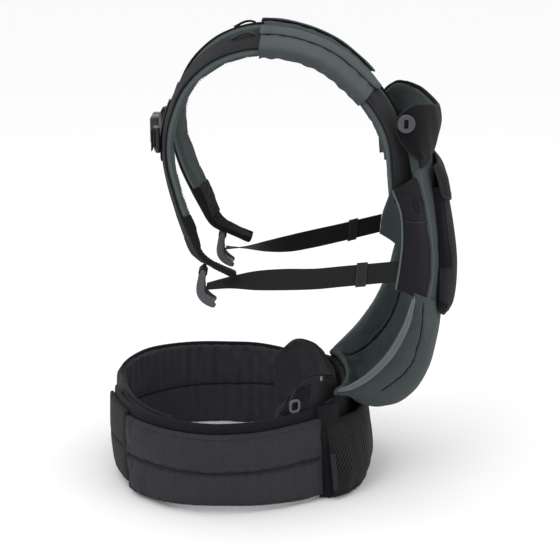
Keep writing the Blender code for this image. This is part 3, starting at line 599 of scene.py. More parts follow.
def stretch_mesh(name, colour):
    """Stretch mesh: diagonal cords with small dark holes between them."""
    s = Shader(name)
    x, y = s.split(s.uv)
    slant = s.wave(s.madd(y, 0.62, x), 0.0044)
    cross = s.wave(s.madd(y, -1.7, x), 0.0030)
    hole = s.math("POWER", s.times(s.minus(1.0, slant), cross), 1.6)
    height = s.minus(s.math("POWER", slant, 0.7), s.times(hole, 0.8))
    grain = s.noise(s.scaled(s.uv, (900.0, 900.0, 1.0)), 1.0, 2.0)
    tone = s.times(s.madd(height, 1.35, 0.22),
                  s.madd(grain, 0.6, 0.7))
    base = s.shaded(tone, colour, reach=2.2)
    normal = s.bump(height, 0.0009)
    return s.finish(base, 0.8, normal, sheen=0.03, specular=0.15)


def pile(name, colour, size=520.0):
    """Hook and loop pile: tangled fuzz, lighter at its tips."""
    s = Shader(name)
    tangle = s.noise(s.scaled(s.uv, (size, size * 1.6, 1.0)), 1.0, 4.0, 0.75)
    clump = s.noise(s.object, 130.0, 3.0)
    sharp = s.math("POWER", tangle, 2.2)
    tone = s.madd(sharp, 2.6, 0.35)
    tone = s.times(tone, s.madd(clump, 0.5, 0.75))
    base = s.shaded(tone, colour, 0.4, 2.5)
    normal = s.bump(s.math("ADD", tangle, s.times(clump, 0.4)), 0.0007)
    return s.finish(base, 0.95, normal, sheen=0.06, specular=0.1)


def plastic(name, colour, roughness=0.42):
    """Moulded plastic with a fine spark-eroded grain and slightly rubbed patches."""
    s = Shader(name)
    grain = s.noise(s.object, 1800.0, 2.0)
    rub = s.noise(s.object, 90.0, 3.0)
    base = s.blend(s.madd(rub, 0.3, 0.35), tint(colour, 0.8), tint(colour, 1.3))
    rough = s.madd(rub, 0.22, roughness - 0.1)
    return s.finish(base, rough, s.bump(grain, 0.00008), specular=0.5)


def thread(name, colour):
    s = Shader(name)
    twist = s.wave(s.split(s.object)[0], 0.0011)
    base = s.blend(s.madd(twist, 0.4, 0.3), tint(colour, 0.7), tint(colour, 1.3))
    return s.finish(base, 0.6, s.bump(twist, 0.0001))


BLACK = (0.0088, 0.0089, 0.0110)
CHARCOAL = (0.0290, 0.0280, 0.0345)
GREEN = (0.0520, 0.0650, 0.0650)
PIPING = (0.0950, 0.1150, 0.1170)
MAT = {
    "charcoal": woven("charcoal_ripstop", CHARCOAL, 0.0019, "rib", contrast=0.42, ripstop=0.0115),
    "black": woven("black_plain_weave", BLACK, 0.0017, "plain"),
    # Painted shade: a darker copy of the black cloth for the head shell, whose upward faces the
    # lamps light more than the other black cloth.
    "head_black_painted_shade": woven("head_black_painted_shade_weave", (0.0040, 0.0041, 0.0052), 0.0017, "plain"),
    "roll": woven("leg_roll_weave", (0.1000, 0.1170, 0.1190), 0.0018, "rib", contrast=0.42),
    "black_rib": woven("black_rib_weave", BLACK, 0.0020, "rib", contrast=0.5),
    "lining": woven("wing_lining", (0.0370, 0.0380, 0.0445), 0.0018, "rib", contrast=0.3),
    # Painted light: a lighter copy of the black cloth for the belly pad, which sits where less
    # light reaches.
    "pad": woven("black_pad_painted_light_weave", (0.0285, 0.0290, 0.0335), 0.0017, "plain"),
    "green": woven("green_brushed_weave", GREEN, 0.0016, "plain", contrast=0.38, depth=0.0003),
    "green_dark": woven("green_inner_weave", (0.0560, 0.0720, 0.0720), 0.0016, "twill"),
    "green_light": woven("green_sleeve_weave", (0.0730, 0.0880, 0.0900), 0.0018, "twill",
                         contrast=0.42, depth=0.00034),
    "piping": woven("grey_piping", PIPING, 0.0014, "twill", contrast=0.25),
    # Light cords for the leg rolls: partly their light stitch lines, partly a painted highlight
    # along the rolls' ridges.
    "cord": woven("light_cord_painted_highlight", (0.185, 0.205, 0.207), 0.0012, "twill", contrast=0.3),
    "binding": woven("black_binding", (0.0100, 0.0100, 0.0115), 0.0012, "rib"),
    "webbing": webbing_material("black_webbing", (0.0085, 0.0085, 0.0098)),
    "elastic": webbing_material("ribbed_elastic", (0.0170, 0.0170, 0.0195), 0.0030),
    "mesh": stretch_mesh("stretch_mesh", (0.0122, 0.0122, 0.0136)),
    "loop": pile("loop_tape", (0.0150, 0.0145, 0.0165)),
    "hook": pile("hook_tape", (0.0140, 0.0140, 0.0160), 420.0),
    "tab": pile("strap_tab", (0.0090, 0.0090, 0.0100), 700.0),
    "label": woven("blank_label", (0.0230, 0.0230, 0.0255), 0.0010, "rib"),
    # Pale cloth for a small strip on the belly pad.
    "pale_strip_cloth": woven("care_label", (0.45, 0.45, 0.45), 0.0010, "plain"),
    "grey_plastic": plastic("grey_plastic", (0.0420, 0.0385, 0.0460)),
    "ring_plastic": plastic("light_grey_plastic", (0.066, 0.066, 0.074), 0.38),
    "black_plastic": plastic("black_plastic", (0.0085, 0.0085, 0.0098), 0.4),
    "thread_dark": thread("dark_thread", (0.0050, 0.0050, 0.0055)),
    "thread_black": thread("black_thread", (0.0150, 0.0150, 0.0170)),
    "thread_grey": thread("grey_thread", (0.075, 0.082, 0.082)),
    "thread_green": thread("green_thread", (0.062, 0.076, 0.076)),
}


# ================================================================ placing pieces
def adopt(obj, material, node, soft=None, panel=None, replaces=False):
    """Gives a piece its material and body, and hides its node's solid when it replaces it."""
    obj.data.materials.clear()
    obj.data.materials.append(MAT[material])
    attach(obj, BODY_OF[node])
    if replaces:
        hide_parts(node)
    if soft == "sheet":
        wide, long, area = panel.flat_size()
    return obj


def stand_in(obj, material, node, soft=None, panel=None):
    """Adopts a piece that takes the place of its node's solid."""
    return adopt(obj, material, node, soft, panel, replaces=True)


def bend(obj):
    """Takes a piece off its body and bakes its place into its mesh."""
    obj.parent = None
    del obj["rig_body"]
    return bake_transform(obj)


STITCHES = {}


def stitch(path, up, node, tone, length=0.0027, gap=0.0012, radius=0.00032):
    """Queues a row of stitches along a path for the body that carries a node."""
    path = np.asarray(path, float)
    up = np.broadcast_to(np.asarray(up, float), path.shape)
    s = distances(path)
    pitch = length + gap
    count = int(s[-1] / pitch)
    if count < 1:
        return
    mid = (np.arange(count) + 0.5) * s[-1] / count

    def at(t, values):
        return np.stack([np.interp(t, s, values[:, i]) for i in range(3)], -1)
    ahead = unit(at(mid + pitch * 0.3, path) - at(mid - pitch * 0.3, path))
    top = unit(at(mid, up))
    side = unit(np.cross(top, ahead))
    key = (BODY_OF[node], tone, SLOT_OF[node])
    STITCHES.setdefault(key, []).append((at(mid, path), ahead, side, top, length, radius))


def sew_stitches():
    """Makes one mesh of rounded threads for each body and colour."""
    t = np.array([-1.0, -0.7, 0.0, 0.7, 1.0])
    width = np.array([0.35, 0.9, 1.0, 0.9, 0.35])
    sink = np.array([-1.4, -0.2, 0.25, -0.2, -1.4])
    angle = circle(6)
    high, wide = np.outer(width, np.sin(angle)) + sink[:, None], np.outer(width, np.cos(angle))
    for (body, tone, slot), rows in STITCHES.items():
        points, count = [], 0
        for centre, ahead, side, top, length, radius in rows:
            ring = (centre[:, None, None] + ahead[:, None, None] * (t * length / 2)[:, None, None]
                    + side[:, None, None] * (wide * radius)[..., None]
                    + top[:, None, None] * (high * radius)[..., None])
            points.append(ring.reshape(-1, 3))
            count += len(centre)
        points = np.concatenate(points)
        ids = np.arange(len(points)).reshape(count, len(t), len(angle))
        beside = np.roll(ids, -1, 2)
        faces = []
        for i in range(len(t) - 1):
            quads = np.stack([ids[:, i], beside[:, i], beside[:, i + 1], ids[:, i + 1]], -1)
            faces += quads.reshape(-1, 4).tolist()
        faces += ids[:, 0, ::-1].tolist() + ids[:, -1].tolist()
        obj = outward(mesh_object("stitching_%s_%s" % (body, tone), points, faces,
                                  np.zeros((len(points), 2))))
        obj.data.materials.append(MAT[tone])
        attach(obj, body)


def shares_on(line, count):
    """Evenly spaced a and b shares along a line of (a, b) shares."""
    line = np.asarray(line, float)
    t, knots = np.linspace(0, 1, count), np.linspace(0, 1, len(line))
    return np.interp(t, knots, line[:, 0]), np.interp(t, knots, line[:, 1])


def seam_on(panel, line, node, tone="thread_black", side=1, lift=0.0, twin=0.0, **sizes):
    """Stitches along a line of (a, b) shares on a panel, or two rows twin metres apart."""
    a, b = shares_on(line, 120)
    up = panel.normals(a, b) * side
    path = panel.place(a, b, side, lift)
    if twin:
        ahead = unit(np.gradient(path, axis=0))
        across = np.cross(up, ahead) * twin / 2
        for way in (-1, 1):
            stitch(path + across * way, up, node, tone, **sizes)
    else:
        stitch(path, up, node, tone, **sizes)


def seams_along(panel, ends, rows, *how, **sizes):
    """Straight seams from share a to share a of a panel, one at each share b in rows."""
    for b in rows:
        seam_on(panel, [(ends[0], b), (ends[1], b)], *how, **sizes)


def seams_across(panel, ends, rows, *how, **sizes):
    """Straight seams from share b to share b of a panel, one at each share a in rows."""
    for a in rows:
        seam_on(panel, [(a, ends[0]), (a, ends[1])], *how, **sizes)


def edge_tube(name, panel, line, node, material, wide, tall, side=1, lift=0.0, sides=10,
              step=0.003):
    """Piping or binding that follows a line of (a, b) shares on a panel."""
    a, b = shares_on(line, 200)
    path = panel.place(a, b, side, lift)
    up = panel.normals(a, b) * side
    count = max(int(length_of(path) / step), 6)
    pick = np.linspace(0, len(path) - 1, count).astype(int)
    obj = sweep(name, path[pick], up[pick], ring_profile(wide, tall, sides))
    return adopt(obj, material, node)


def two_tone(obj, second):
    """Puts a second material on the inner face of a panel."""
    obj.data.materials.append(MAT[second])
    count = len(obj.data.polygons)
    inner = np.zeros(count, np.int32)
    inner[count // 2:] = 1
    obj.data.polygons.foreach_set("material_index", inner)


def rounded_box(name, size, place, bevel, turn=(0.0, 0.0, 0.0), segments=3):
    """Moulded block with round edges."""
    bpy.ops.mesh.primitive_cube_add(size=1.0)
    obj = bpy.context.object
    obj.name = name
    for vert in obj.data.vertices:
        vert.co = [c * s for c, s in zip(vert.co, size)]
    obj.location = place
    obj.rotation_euler = turn
    mod = obj.modifiers.new("round", "BEVEL")
    mod.width = bevel
    mod.segments = segments
    mod.limit_method = "NONE"
    return baked(obj)


def baked(obj):
    """Applies an object's modifiers."""
    bpy.context.view_layer.update()
    graph = bpy.context.evaluated_depsgraph_get()
    mesh = bpy.data.meshes.new_from_object(obj.evaluated_get(graph))
    obj.modifiers.clear()
    obj.data = mesh
    mesh.shade_smooth()
    mesh.set_sharp_from_angle(angle=math.radians(40))
    return obj


def carve(obj, *tools):
    """Cuts closed tools out of an object."""
    for tool in tools:
        mod = obj.modifiers.new("carve", "BOOLEAN")
        mod.operation = "DIFFERENCE"
        mod.solver = "EXACT"
        mod.object = tool
    baked(obj)
    for tool in tools:
        bpy.data.objects.remove(tool, do_unlink=True)
    return obj


def cuff(name, sheet, u_range, inside, out, under, side, wall, step=0.0025, around=44,
         wrinkle=None):
    """Fabric tube around a strap: inner size given, wall of constant thickness.

    Gives the object and the rings of its outer surface."""
    u0, u1 = u_range
    sign = outward_sign(sheet, (u0 + u1) / 2, 0.5, inside)
    length = length_of(on_sheet(sheet, np.linspace(u0, u1, 40), 0.5))
    u = u0 + (u1 - u0) * stops(length, step, 0.004)
    near, far = on_sheet(sheet, u, 0.0), on_sheet(sheet, u, 1.0)
    up = sheet_normals(sheet, u, np.full_like(u, 0.5)) * sign
    across = unit(far - near)
    t = circle(around)
    wide, tall = boxy(t, 0.45, 0.55)
    centre = (near + far) / 2 + up * (out + under) / 2
    half = np.linalg.norm(far - near, axis=1) / 2 + side
    shells = []
    along = (u - u0) / (u1 - u0) * length
    for grow in (wall, 0.0):
        w = (half + grow)[:, None] * wide
        h = ((out - under) / 2 + grow) * tall + np.zeros((len(u), 1))
        if grow and wrinkle:
            push = wrinkle(along[:, None], t)
            w, h = w + wide * push, h + tall * push
        shells.append(centre[:, None] + across[:, None] * w[..., None] + up[:, None] * h[..., None])
    n, m = len(u), around
    points = np.concatenate([s.reshape(-1, 3) for s in shells])
    ids = [np.arange(n * m).reshape(n, m), np.arange(n * m, 2 * n * m).reshape(n, m)]
    j = np.arange(m)
    k = (j + 1) % m
    faces = [tube_quads(ids[0]), tube_quads(ids[1])[:, ::-1]]
    for row, flip in ((0, 1), (n - 1, -1)):
        rim = np.stack([ids[0][row, j], ids[1][row, j], ids[1][row, k], ids[0][row, k]], -1)
        faces.append(rim[:, ::flip])
    girth = np.concatenate([[0], np.cumsum(np.hypot(np.diff(wide), np.diff(tall)))]) * half.mean()
    uv = np.stack(np.meshgrid(along, girth, indexing="ij"), -1).reshape(-1, 2)
    obj = outward(mesh_object(name, points, np.concatenate(faces), np.concatenate([uv, uv])))
    return obj, shells[0]


def closed_ring(ring):
    """A ring of points with its first one repeated at the end."""
    return np.append(ring, ring[:1], axis=0)


# ================================================================ waist belt
TAPE_START = 0.765           # share along the right wing where its loop tape begins
BELT_MIDDLE = (-0.065, 0.0, 0.06)
BELT_CORE = (0.0, 0.0, 0.12)
CELLS = 22                   # cells along a CAD strap or wing; parts on it span whole cells
right_wing = rails(
    [(50, -96, 108), (18, -121, 108), (-26, -148, 108), (-70, -157, 108), (-102, -152, 108),
     (-133, -138, 108), (-164, -113, 108), (-186, -84, 108), (-202, -46, 108), (-211, -12, 108)],
    [(52, -104, 55), (20, -127, 55), (-26, -151, 55), (-70, -158, 55), (-102, -153, 55),
     (-133, -139, 55), (-164, -114, 55), (-186, -85, 55), (-203, -46, 55), (-212, -12, 55)],
    [(53, -110, 4), (24, -130, 4), (-24, -150, 6), (-68, -156, 8), (-101, -152, 7),
     (-133, -139, 5), (-163, -114, 3), (-184, -85, 3), (-200, -46, 5), (-208, -12, 10)])
left_wing = rails(
    [(50, 96, 108), (10, 129, 110), (-30, 148, 112), (-72, 154, 112), (-112, 154, 112),
     (-148, 144, 112), (-178, 124, 112), (-198, 92, 111), (-207, 54, 110), (-203, 14, 109),
     (-194, -22, 108), (-180, -56, 106), (-158, -90, 104), (-128, -115, 101)],
    [(52, 104, 56), (12, 133, 56), (-30, 151, 56), (-72, 157, 56), (-112, 156, 56),
     (-148, 145, 56), (-178, 124, 56), (-199, 92, 56), (-208, 54, 55), (-204, 14, 54),
     (-195, -22, 53), (-181, -56, 53), (-159, -91, 52), (-129, -117, 51)],
    [(53, 110, 0), (14, 135, 0), (-30, 151, 0), (-72, 156, 0), (-112, 155, 0), (-148, 144, 0),
     (-177, 123, 0), (-196, 91, 0), (-204, 54, 0), (-199, 14, 0), (-190, -22, 0), (-177, -56, 0),
     (-156, -91, 0), (-128, -116, 0)])
belt_front = whole(rails(
    [(54, -94, 116), (56, -99, 70), (58, -108, 30), (58, -114, 0)],
    [(72, -70, 119), (78, -78, 70), (84, -88, 30), (85, -92, 0)],
    [(79, -36, 119), (88, -40, 70), (96, -46, 30), (98, -48, 0)],
    [(81, 0, 119), (90, 0, 70), (99, 0, 30), (101, 0, 0)]))
belt_pocket = whole(rails(
    [(56, -106, 93), (60, -111, 70), (64, -119, 30), (66, -121, 6)],
    [(77, -91, 92), (85, -95, 70), (92, -104, 30), (87, -101, 6)],
    [(98, -58, 91), (106, -60, 70), (111, -66, 30), (104, -60, 6)],
    [(107, 0, 90), (113, 0, 70), (116, 0, 30), (109, 0, 6)]))
belly_pad = whole(rails(
    [(-6, -126, 60), (-6, -126, 85), (-5, -121, 104), (2, -115, 114)],
    [(22, -104, 35), (21, -102, 80), (21, -97, 120), (22, -90, 138)],
    [(47, -78, 30), (46, -74, 80), (45, -68, 122), (45, -62, 140)],
    [(63, -41, 30), (62, -39, 75), (60, -36, 112), (58, -34, 130)],
    [(70, 0, 30), (69, 0, 70), (67, 0, 104), (65, 0, 121)]))


def channels(panel, lines, crown, depth, width, wrinkles, seed):
    """Outer surface of a quilted pad: crowned between sewn lines, puckered beside them."""
    def shape(a, b):
        x, y = a * panel.length, b * panel.height
        near = np.full(np.shape(a), 1e9)
        size = np.array([panel.length, panel.height])
        for line in lines:
            near = np.minimum(near, seam_distance(a, b, line, size))
        edge = np.minimum(np.minimum(a, 1 - a) * panel.length, np.minimum(b, 1 - b) * panel.height)
        near = np.minimum(near, edge + 0.002)
        lift = crown * (1 - np.exp(-near / 0.010))
        lift = lift - depth * np.exp(-(near / width) ** 2) * (edge > 0.003)
        pucker = ripple(x, y, 0.011, seed, 3.0) * np.exp(-near / 0.008) * wrinkles * 0.8
        return lift + pucker + ripple(x, y, 0.034, seed + 1, 2.2) * wrinkles
    return shape


def make_right_wing():
    back = Panel(right_wing, ALL, ALL, -0.0016, -0.0065, BELT_MIDDLE)
    obj = back.build("wing_right_back", 0.0032,
                     drop=channels(back, [[(0, 0.5), (1, 0.5)]], 0.0004, 0.0018, 0.003, -0.0003, 4))
    stand_in(obj, "black", "belt_wing_right", "padded")
    seams_along(back, (0.004, 0.996), (0.022, 0.066, 0.955), "belt_wing_right")
    for row, b, wide in (("top", 0.0, 0.0058), ("bottom", 1.0, 0.0034)):
        edge_tube("wing_right_binding_" + row, back, [(0.002, b), (0.998, b)],
                  "belt_wing_right", "binding", wide, wide * 0.7)

    cover = Panel(right_wing, (0.012, TAPE_START - 0.005), (0.085, 0.985), 0.0062, -0.0011,
                  BELT_MIDDLE, rim=0.0042)
    lines = [[(0, 0.5), (1, 0.5)]]
    obj = cover.build("wing_right_cover", 0.0027,
                      rise=channels(cover, lines, 0.0020, 0.0042, 0.0019, 0.00062, 11),
                      seams=(0.5,))
    puff(obj, cover, lines, pressure=2.5, growth=0.02, cap=0.0022, inner_cap=0.0002)
    stand_in(obj, "charcoal", "belt_cover_right", "padded")
    seams_along(cover, (0.004, 0.996), (0.468, 0.532), "belt_cover_right", lift=0.0002)
    seams_along(cover, (0.006, 0.994), (0.048, 0.952), "belt_cover_right", lift=0.0002)
    seams_across(cover, (0.06, 0.94), (0.014, 0.986), "belt_cover_right", lift=0.0002)

    tape = Panel(right_wing, (TAPE_START, 0.995), (0.04, 0.93), 0.0045, -0.0011, BELT_MIDDLE)
    lines = [[(0.0, 0.50), (1.0, 0.54)]]
    obj = tape.build("wing_right_loop_tape", 0.0018,
                     rise=channels(tape, lines, 0.0006, 0.0022, 0.002, 0.0003, 31))
    stand_in(obj, "loop", "belt_loop_tape_right", "padded")
    frame_line = [(0.08, 0.04), (0.92, 0.04), (0.92, 0.96), (0.08, 0.96), (0.08, 0.04)]
    seam_on(tape, frame_line, "belt_loop_tape_right", lift=0.0002)


def make_left_wing():
    wing = Panel(left_wing, ALL, ALL, 0.0045, -0.0055, BELT_MIDDLE, rim=0.0045)
    outer_lines = [[(0, 0.5), (1, 0.5)]]
    inner_lines = [[(0.0, 0.44), (0.2, 0.50), (0.45, 0.54), (0.62, 0.50), (1.0, 0.46)],
                   [(0.60, 0.0), (0.60, 1.0)]]
    quilt = channels(wing, inner_lines, 0.0006, 0.0018, 0.0036, 0.0002, 51)

    def lining(a, b):
        x, y = a * wing.length, b * wing.height
        pleats = ripple(x, y, 0.0105, 61, 7.0) * 0.0010
        slack = ripple(x * 0.7 + y * 0.9, y * 0.4, 0.021, 62, 2.0)
        slack = slack * 0.0020 * np.exp(-((a - 0.17) / 0.10) ** 2)
        return -(quilt(a, b) + pleats + slack)
    outer = channels(wing, outer_lines, 0.0016, 0.0036, 0.0019, 0.00055, 71)

    def outer_face(a, b):
        return outer(a, b) * (1 - smooth((a - 0.58) / 0.06)) - 0.0008 * smooth((a - 0.62) / 0.04)
    obj = wing.build("wing_left", 0.0029,
                     rise=outer_face, drop=lining, seams=(0.5,))
    puff(obj, wing, outer_lines + inner_lines, pressure=1.5, growth=0.03, cap=0.0012,
         inner_cap=0.0022)
    stand_in(obj, "charcoal", "belt_wing_left", "padded")
    two_tone(obj, "lining")
    # A dark tube along each quilting line of the lining paints the shade in the seam's crease.
    for index, line in enumerate(inner_lines):
        edge_tube("wing_left_quilt_seam_%d" % index, wing, line, "belt_wing_left", "thread_dark",
                  0.0015, 0.0016, side=-1, lift=0.0004, sides=8)
    seam_on(wing, [(0.004, 0.5), (0.60, 0.5)], "belt_wing_left", lift=0.0003)
    for side in (1, -1):
        seam_on(wing, [(0.004, 0.05), (0.996, 0.05)], "belt_wing_left", side=side, lift=0.0002)
    edge_tube("wing_left_binding_top", wing, [(0.0, 0.0), (0.66, 0.0)], "belt_wing_left",
              "binding", 0.0088, 0.0040)
    edge_tube("wing_left_tail_binding", wing, [(0.66, 0.0), (0.998, 0.0)], "belt_wing_left",
              "label", 0.0080, 0.0032)
    patch = Panel(left_wing, (15 / CELLS, 21 / CELLS), (0.25, 0.75), 0.0066, 0.0046, BELT_MIDDLE)
    obj = patch.build("wing_left_hook_patch", 0.0022)
    stand_in(obj, "hook", "belt_hook_patch", "sheet", panel=patch)


def make_belt_front():
    front = Panel(belt_front, ALL, ALL, 0.0035, -0.0035, BELT_MIDDLE)
    obj = front.build("belt_front_panel", 0.0036,
                      rise=lambda a, b: ripple(a * 0.11, b * 0.26, 0.03, 81) * 0.0004)
    stand_in(obj, "black", "belt_front", "padded")
    pad = Panel(belly_pad, ALL, ALL, 0.0040, -0.0045, BELT_MIDDLE, rim=0.0042)
    quilt = channels(pad, [], 0.0012, 0.0, 0.003, 0.0004, 91)
    obj = pad.build("belly_pad_cover", 0.0030, rise=quilt, drop=lambda a, b: -quilt(a, b))
    puff(obj, pad, [], pressure=2.0, growth=0.03, cap=0.0018, inner_cap=0.0018)
    # The belly pad wears the lighter copy of the black cloth: painted light.
    stand_in(obj, "pad", "belly_pad", "padded")
    edge_tube("belly_pad_piping", pad, [(0.55, 0.0), (1.0, 0.02), (1.0, 0.98), (0.55, 1.0)],
              "belly_pad", "binding", 0.0040, 0.0040)
    for side in (1, -1):
        seam_on(pad, [(0.94, 0.06), (0.94, 0.94)], "belly_pad", side=side)
    # A small pale strip near the top of the belly pad.
    label = Panel(belly_pad, (0.86, 0.97), (0.245, 0.262), 0.0066, 0.0060, BELT_MIDDLE)
    adopt(label.build("care_label", 0.0015), "pale_strip_cloth", "belly_pad")

    pocket = Panel(belt_pocket, ALL, ALL, 0.0010, -0.0010, BELT_MIDDLE)

    def fullness(a, b):
        x, y = a * pocket.length, b * pocket.height
        size = np.array([pocket.length, pocket.height])
        near = np.minimum(seam_distance(a, b, [(0.72, 0.14), (1.0, 0.22)], size),
                          seam_distance(a, b, [(0.72, 0.86), (1.0, 0.78)], size))
        return (ripple(y, x, 0.030, 101, 2.5) * 0.0007 - 0.0012 * np.exp(-(near / 0.0022) ** 2)
                + 0.0006 * np.sin(math.pi * b))
    obj = pocket.build("belt_pocket_mesh", 0.0026, rise=fullness, drop=fullness)
    stand_in(obj, "mesh", "belt_pocket", "sheet", panel=pocket)
    for v0, v1 in ((0.14, 0.22), (0.86, 0.78)):
        seam_on(pocket, [(0.72, v0), (0.99, v1)], "belt_pocket", twin=0.003, lift=0.0003)
    t = np.linspace(0.0, 1.0, 80)
    line = on_sheet(belt_pocket, 0.0, t) + np.array([0.0, 0.0, 0.0010])
    up = pocket.normals(0.02, t)
    obj = sweep("belt_pocket_hem_band", line, up, ring_profile(0.0085, 0.0034, 14, 0.6))
    stand_in(obj, "black_rib", "belt_pocket_hem")
    for drop in (0.0014, -0.0022):
        stitch(line + up * 0.0018 + np.array([0, 0, drop]), up, "belt_pocket_hem", "thread_black")
    edge_tube("belt_pocket_bottom_binding", pocket, [(0.995, 0.0), (0.995, 1.0)],
              "belt_pocket", "binding", 0.0042, 0.0034)
    for b in (0.004, 0.996):
        edge_tube("belt_pocket_side_binding_%d" % round(b), pocket, [(0.0, b), (1.0, b)],
                  "belt_pocket", "binding", 0.0046, 0.0032)


def make_wing_seams():
    """Fabric that closes the belt between each wing's end and the pocket."""
    right = rails(
        [(44, -101, 113), (46.5, -108, 60), (48, -113, 1)],
        [(58, -100, 115), (60, -106.5, 60), (64, -113, 1)],
        [(70, -90, 115), (74, -96, 60), (78, -102, 1)])
    for name, sheet in (("right", right), ("left", mirrored(right))):
        seam = Panel(sheet, ALL, ALL, 0.0024, -0.0024, BELT_MIDDLE)
        obj = seam.build("wing_seam_" + name, 0.0028,
                         rise=lambda a, b: ripple(b * 0.03, a * 0.11, 0.014, 86, 3.0) * 0.0004)
        adopt(obj, "black", "belt_front", soft="padded")
        bend(obj)


def make_belt_trim():
    strip = rails(
        [(18, -101, 137), (19, -106, 122), (20, -109.5, 112.5)],
        [(37, -84, 137), (35, -92, 122), (31, -101, 112.5)])
    band = Panel(strip, ALL, ALL, 0.0022, 0.0008, BELT_CORE)
    obj = band.build("adjuster_webbing", 0.0018)
    stand_in(obj, "webbing", "belt_adjuster_webbing", "sheet", panel=band)
    seams_along(band, (0.05, 0.95), (0.12, 0.88), "belt_adjuster_webbing", lift=0.0003)
    low, high = (np.array(corner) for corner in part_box("belt_adjuster_ring"))
    centre = (low + high) / 2
    turn = math.radians(32)
    across = np.array([math.cos(turn), math.sin(turn), 0.0])
    x, z = boxy(circle(48), 0.6, 0.6)
    path = centre + across * (x * 0.0062)[:, None] + UP * (z * 0.0068)[:, None]
    facing = np.array([across[1], -across[0], 0.0])
    obj = sweep("adjuster_ring", path, facing, ring_profile(0.0038, 0.0034, 12), closed=True)
    stand_in(obj, "ring_plastic", "belt_adjuster_ring")
    hold = rails((3, -118, 109), (9.5, -118, 118), (16.5, -112, 125), (25, -103, 129),
                 (33, -93, 131))
    line = curve(hold, np.linspace(0, 1, 40))
    obj = sweep("adjuster_loop", line, facing, ring_profile(0.0096, 0.0026, 12, 0.6))
    adopt(obj, "black_rib", "belt_adjuster_webbing")
    for shift in (-0.0016, 0.0016):
        stitch(line + facing * 0.0015 + np.array([0.0, 0.0, shift]), facing,
               "belt_adjuster_webbing", "thread_black", 0.0020, 0.0010)
    # The label comes out of the seam between wing and pocket, then turns over the pocket.
    tag = rails(
        [(61.5, -111, 60), (64, -115, 38), (66.5, -118, 16)],
        [(60.8, -117.5, 60), (63.3, -121.5, 38), (65.3, -124, 16)],
        [(61.2, -121.5, 60), (63.7, -125.5, 38), (65.2, -127.8, 16)],
        [(66, -119.5, 60), (69, -124, 38), (70, -126, 16)])
    label = Panel(tag, ALL, ALL, 0.0005, -0.0005, BELT_MIDDLE)
    obj = label.build("belt_label", 0.0016)
    stand_in(obj, "label", "belt_tag")
    seams_across(label, (0.1, 0.9), (0.05, 0.95), "belt_tag", "thread_grey", lift=0.0001)


# ================================================================ seat and body panel
CHILD = (0.085, 0.0, 0.30)
seat = whole(rails(
    [(71, -80, 124.5), (89, -92, 134), (111, -103, 152), (134, -114, 182), (151, -122, 220),
     (158, -129, 259)],
    [(78, -64, 124.5), (94, -78, 119), (119, -94, 128), (147, -106, 154), (165, -112, 192),
     (171.5, -115, 249)],
    [(84, -36, 124), (98, -50, 108), (127, -64, 106), (158, -74, 126), (178, -77, 168),
     (187, -78, 236)],
    [(87, 0, 124), (101, 0, 104), (133, 0, 100), (166, 0, 116), (188, 0, 157), (196.5, 0, 226.2)]))
leg_edge = rails((72.5, -85.8, 128.5), (88.5, -97.2, 138.5), (109.2, -108.2, 156.8),
                 (131.2, -119.2, 186.2), (147.5, -127.5, 222.5), (153.5, -134.5, 250))
body_panel = whole(rails(
    [(171.5, -112.5, 252), (175, -113.5, 285), (173, -113.5, 320), (166, -113, 362),
     (157, -111, 402)],
    [(187, -78, 238), (190, -78, 285), (188, -77, 325), (182, -75, 368), (173, -73, 408)],
    [(194.5, -39, 230), (196, -39, 285), (194.5, -39, 329), (188.5, -38, 372), (179, -37, 411)],
    [(196.5, 0, 228), (198, 0, 285), (196, 0, 330), (190, 0, 373), (181, 0, 412)]))
side_panel = rails(
    [(170.4, -114.2, 254.5), (174, -115, 286), (172, -115, 320), (165, -114.6, 360),
     (156, -112.8, 398.5)],
    [(153, -130, 268), (157.5, -131, 293), (157, -131.5, 323), (152.5, -130.5, 359),
     (142, -128.5, 392.5)],
    [(134.5, -139.5, 277.5), (137.5, -140.5, 300), (139.5, -141, 330), (137, -140, 361),
     (127.5, -138.5, 386.5)])
left_panel = mirrored(side_panel)
for row, reach in zip(left_panel, (0.0, 0.003, 0.007)):
    row[2:, 0] += reach
front_pocket = whole(rails(
    [(188.5, -89.5, 237), (189, -90, 245), (188.5, -90.5, 285), (186, -90, 325), (180, -87, 378)],
    [(192, -85, 226), (199, -88.5, 240), (202, -89, 285), (196.5, -88.5, 325), (189, -84, 378)],
    [(200, -52, 216), (209.5, -56, 238), (211.5, -56, 285), (205.5, -56, 330), (196, -54, 379)],
    [(203, 0, 213), (212.5, 0, 238), (214.5, 0, 285), (208, 0, 330), (198.5, 0, 380)]))
flap = whole(rails(
    [(179, -88, 406), (184, -92.5, 392), (189, -94.5, 372)],
    [(185, -64, 407.5), (195, -72, 391), (201, -74, 364)],
    [(187, 0, 408.5), (198.5, 0, 392), (205.5, 0, 358)]))


def both_sides(line):
    """A line of (a, b) shares and its mirror image across the panel."""
    return [line, [(a, 1 - b) for a, b in line]]


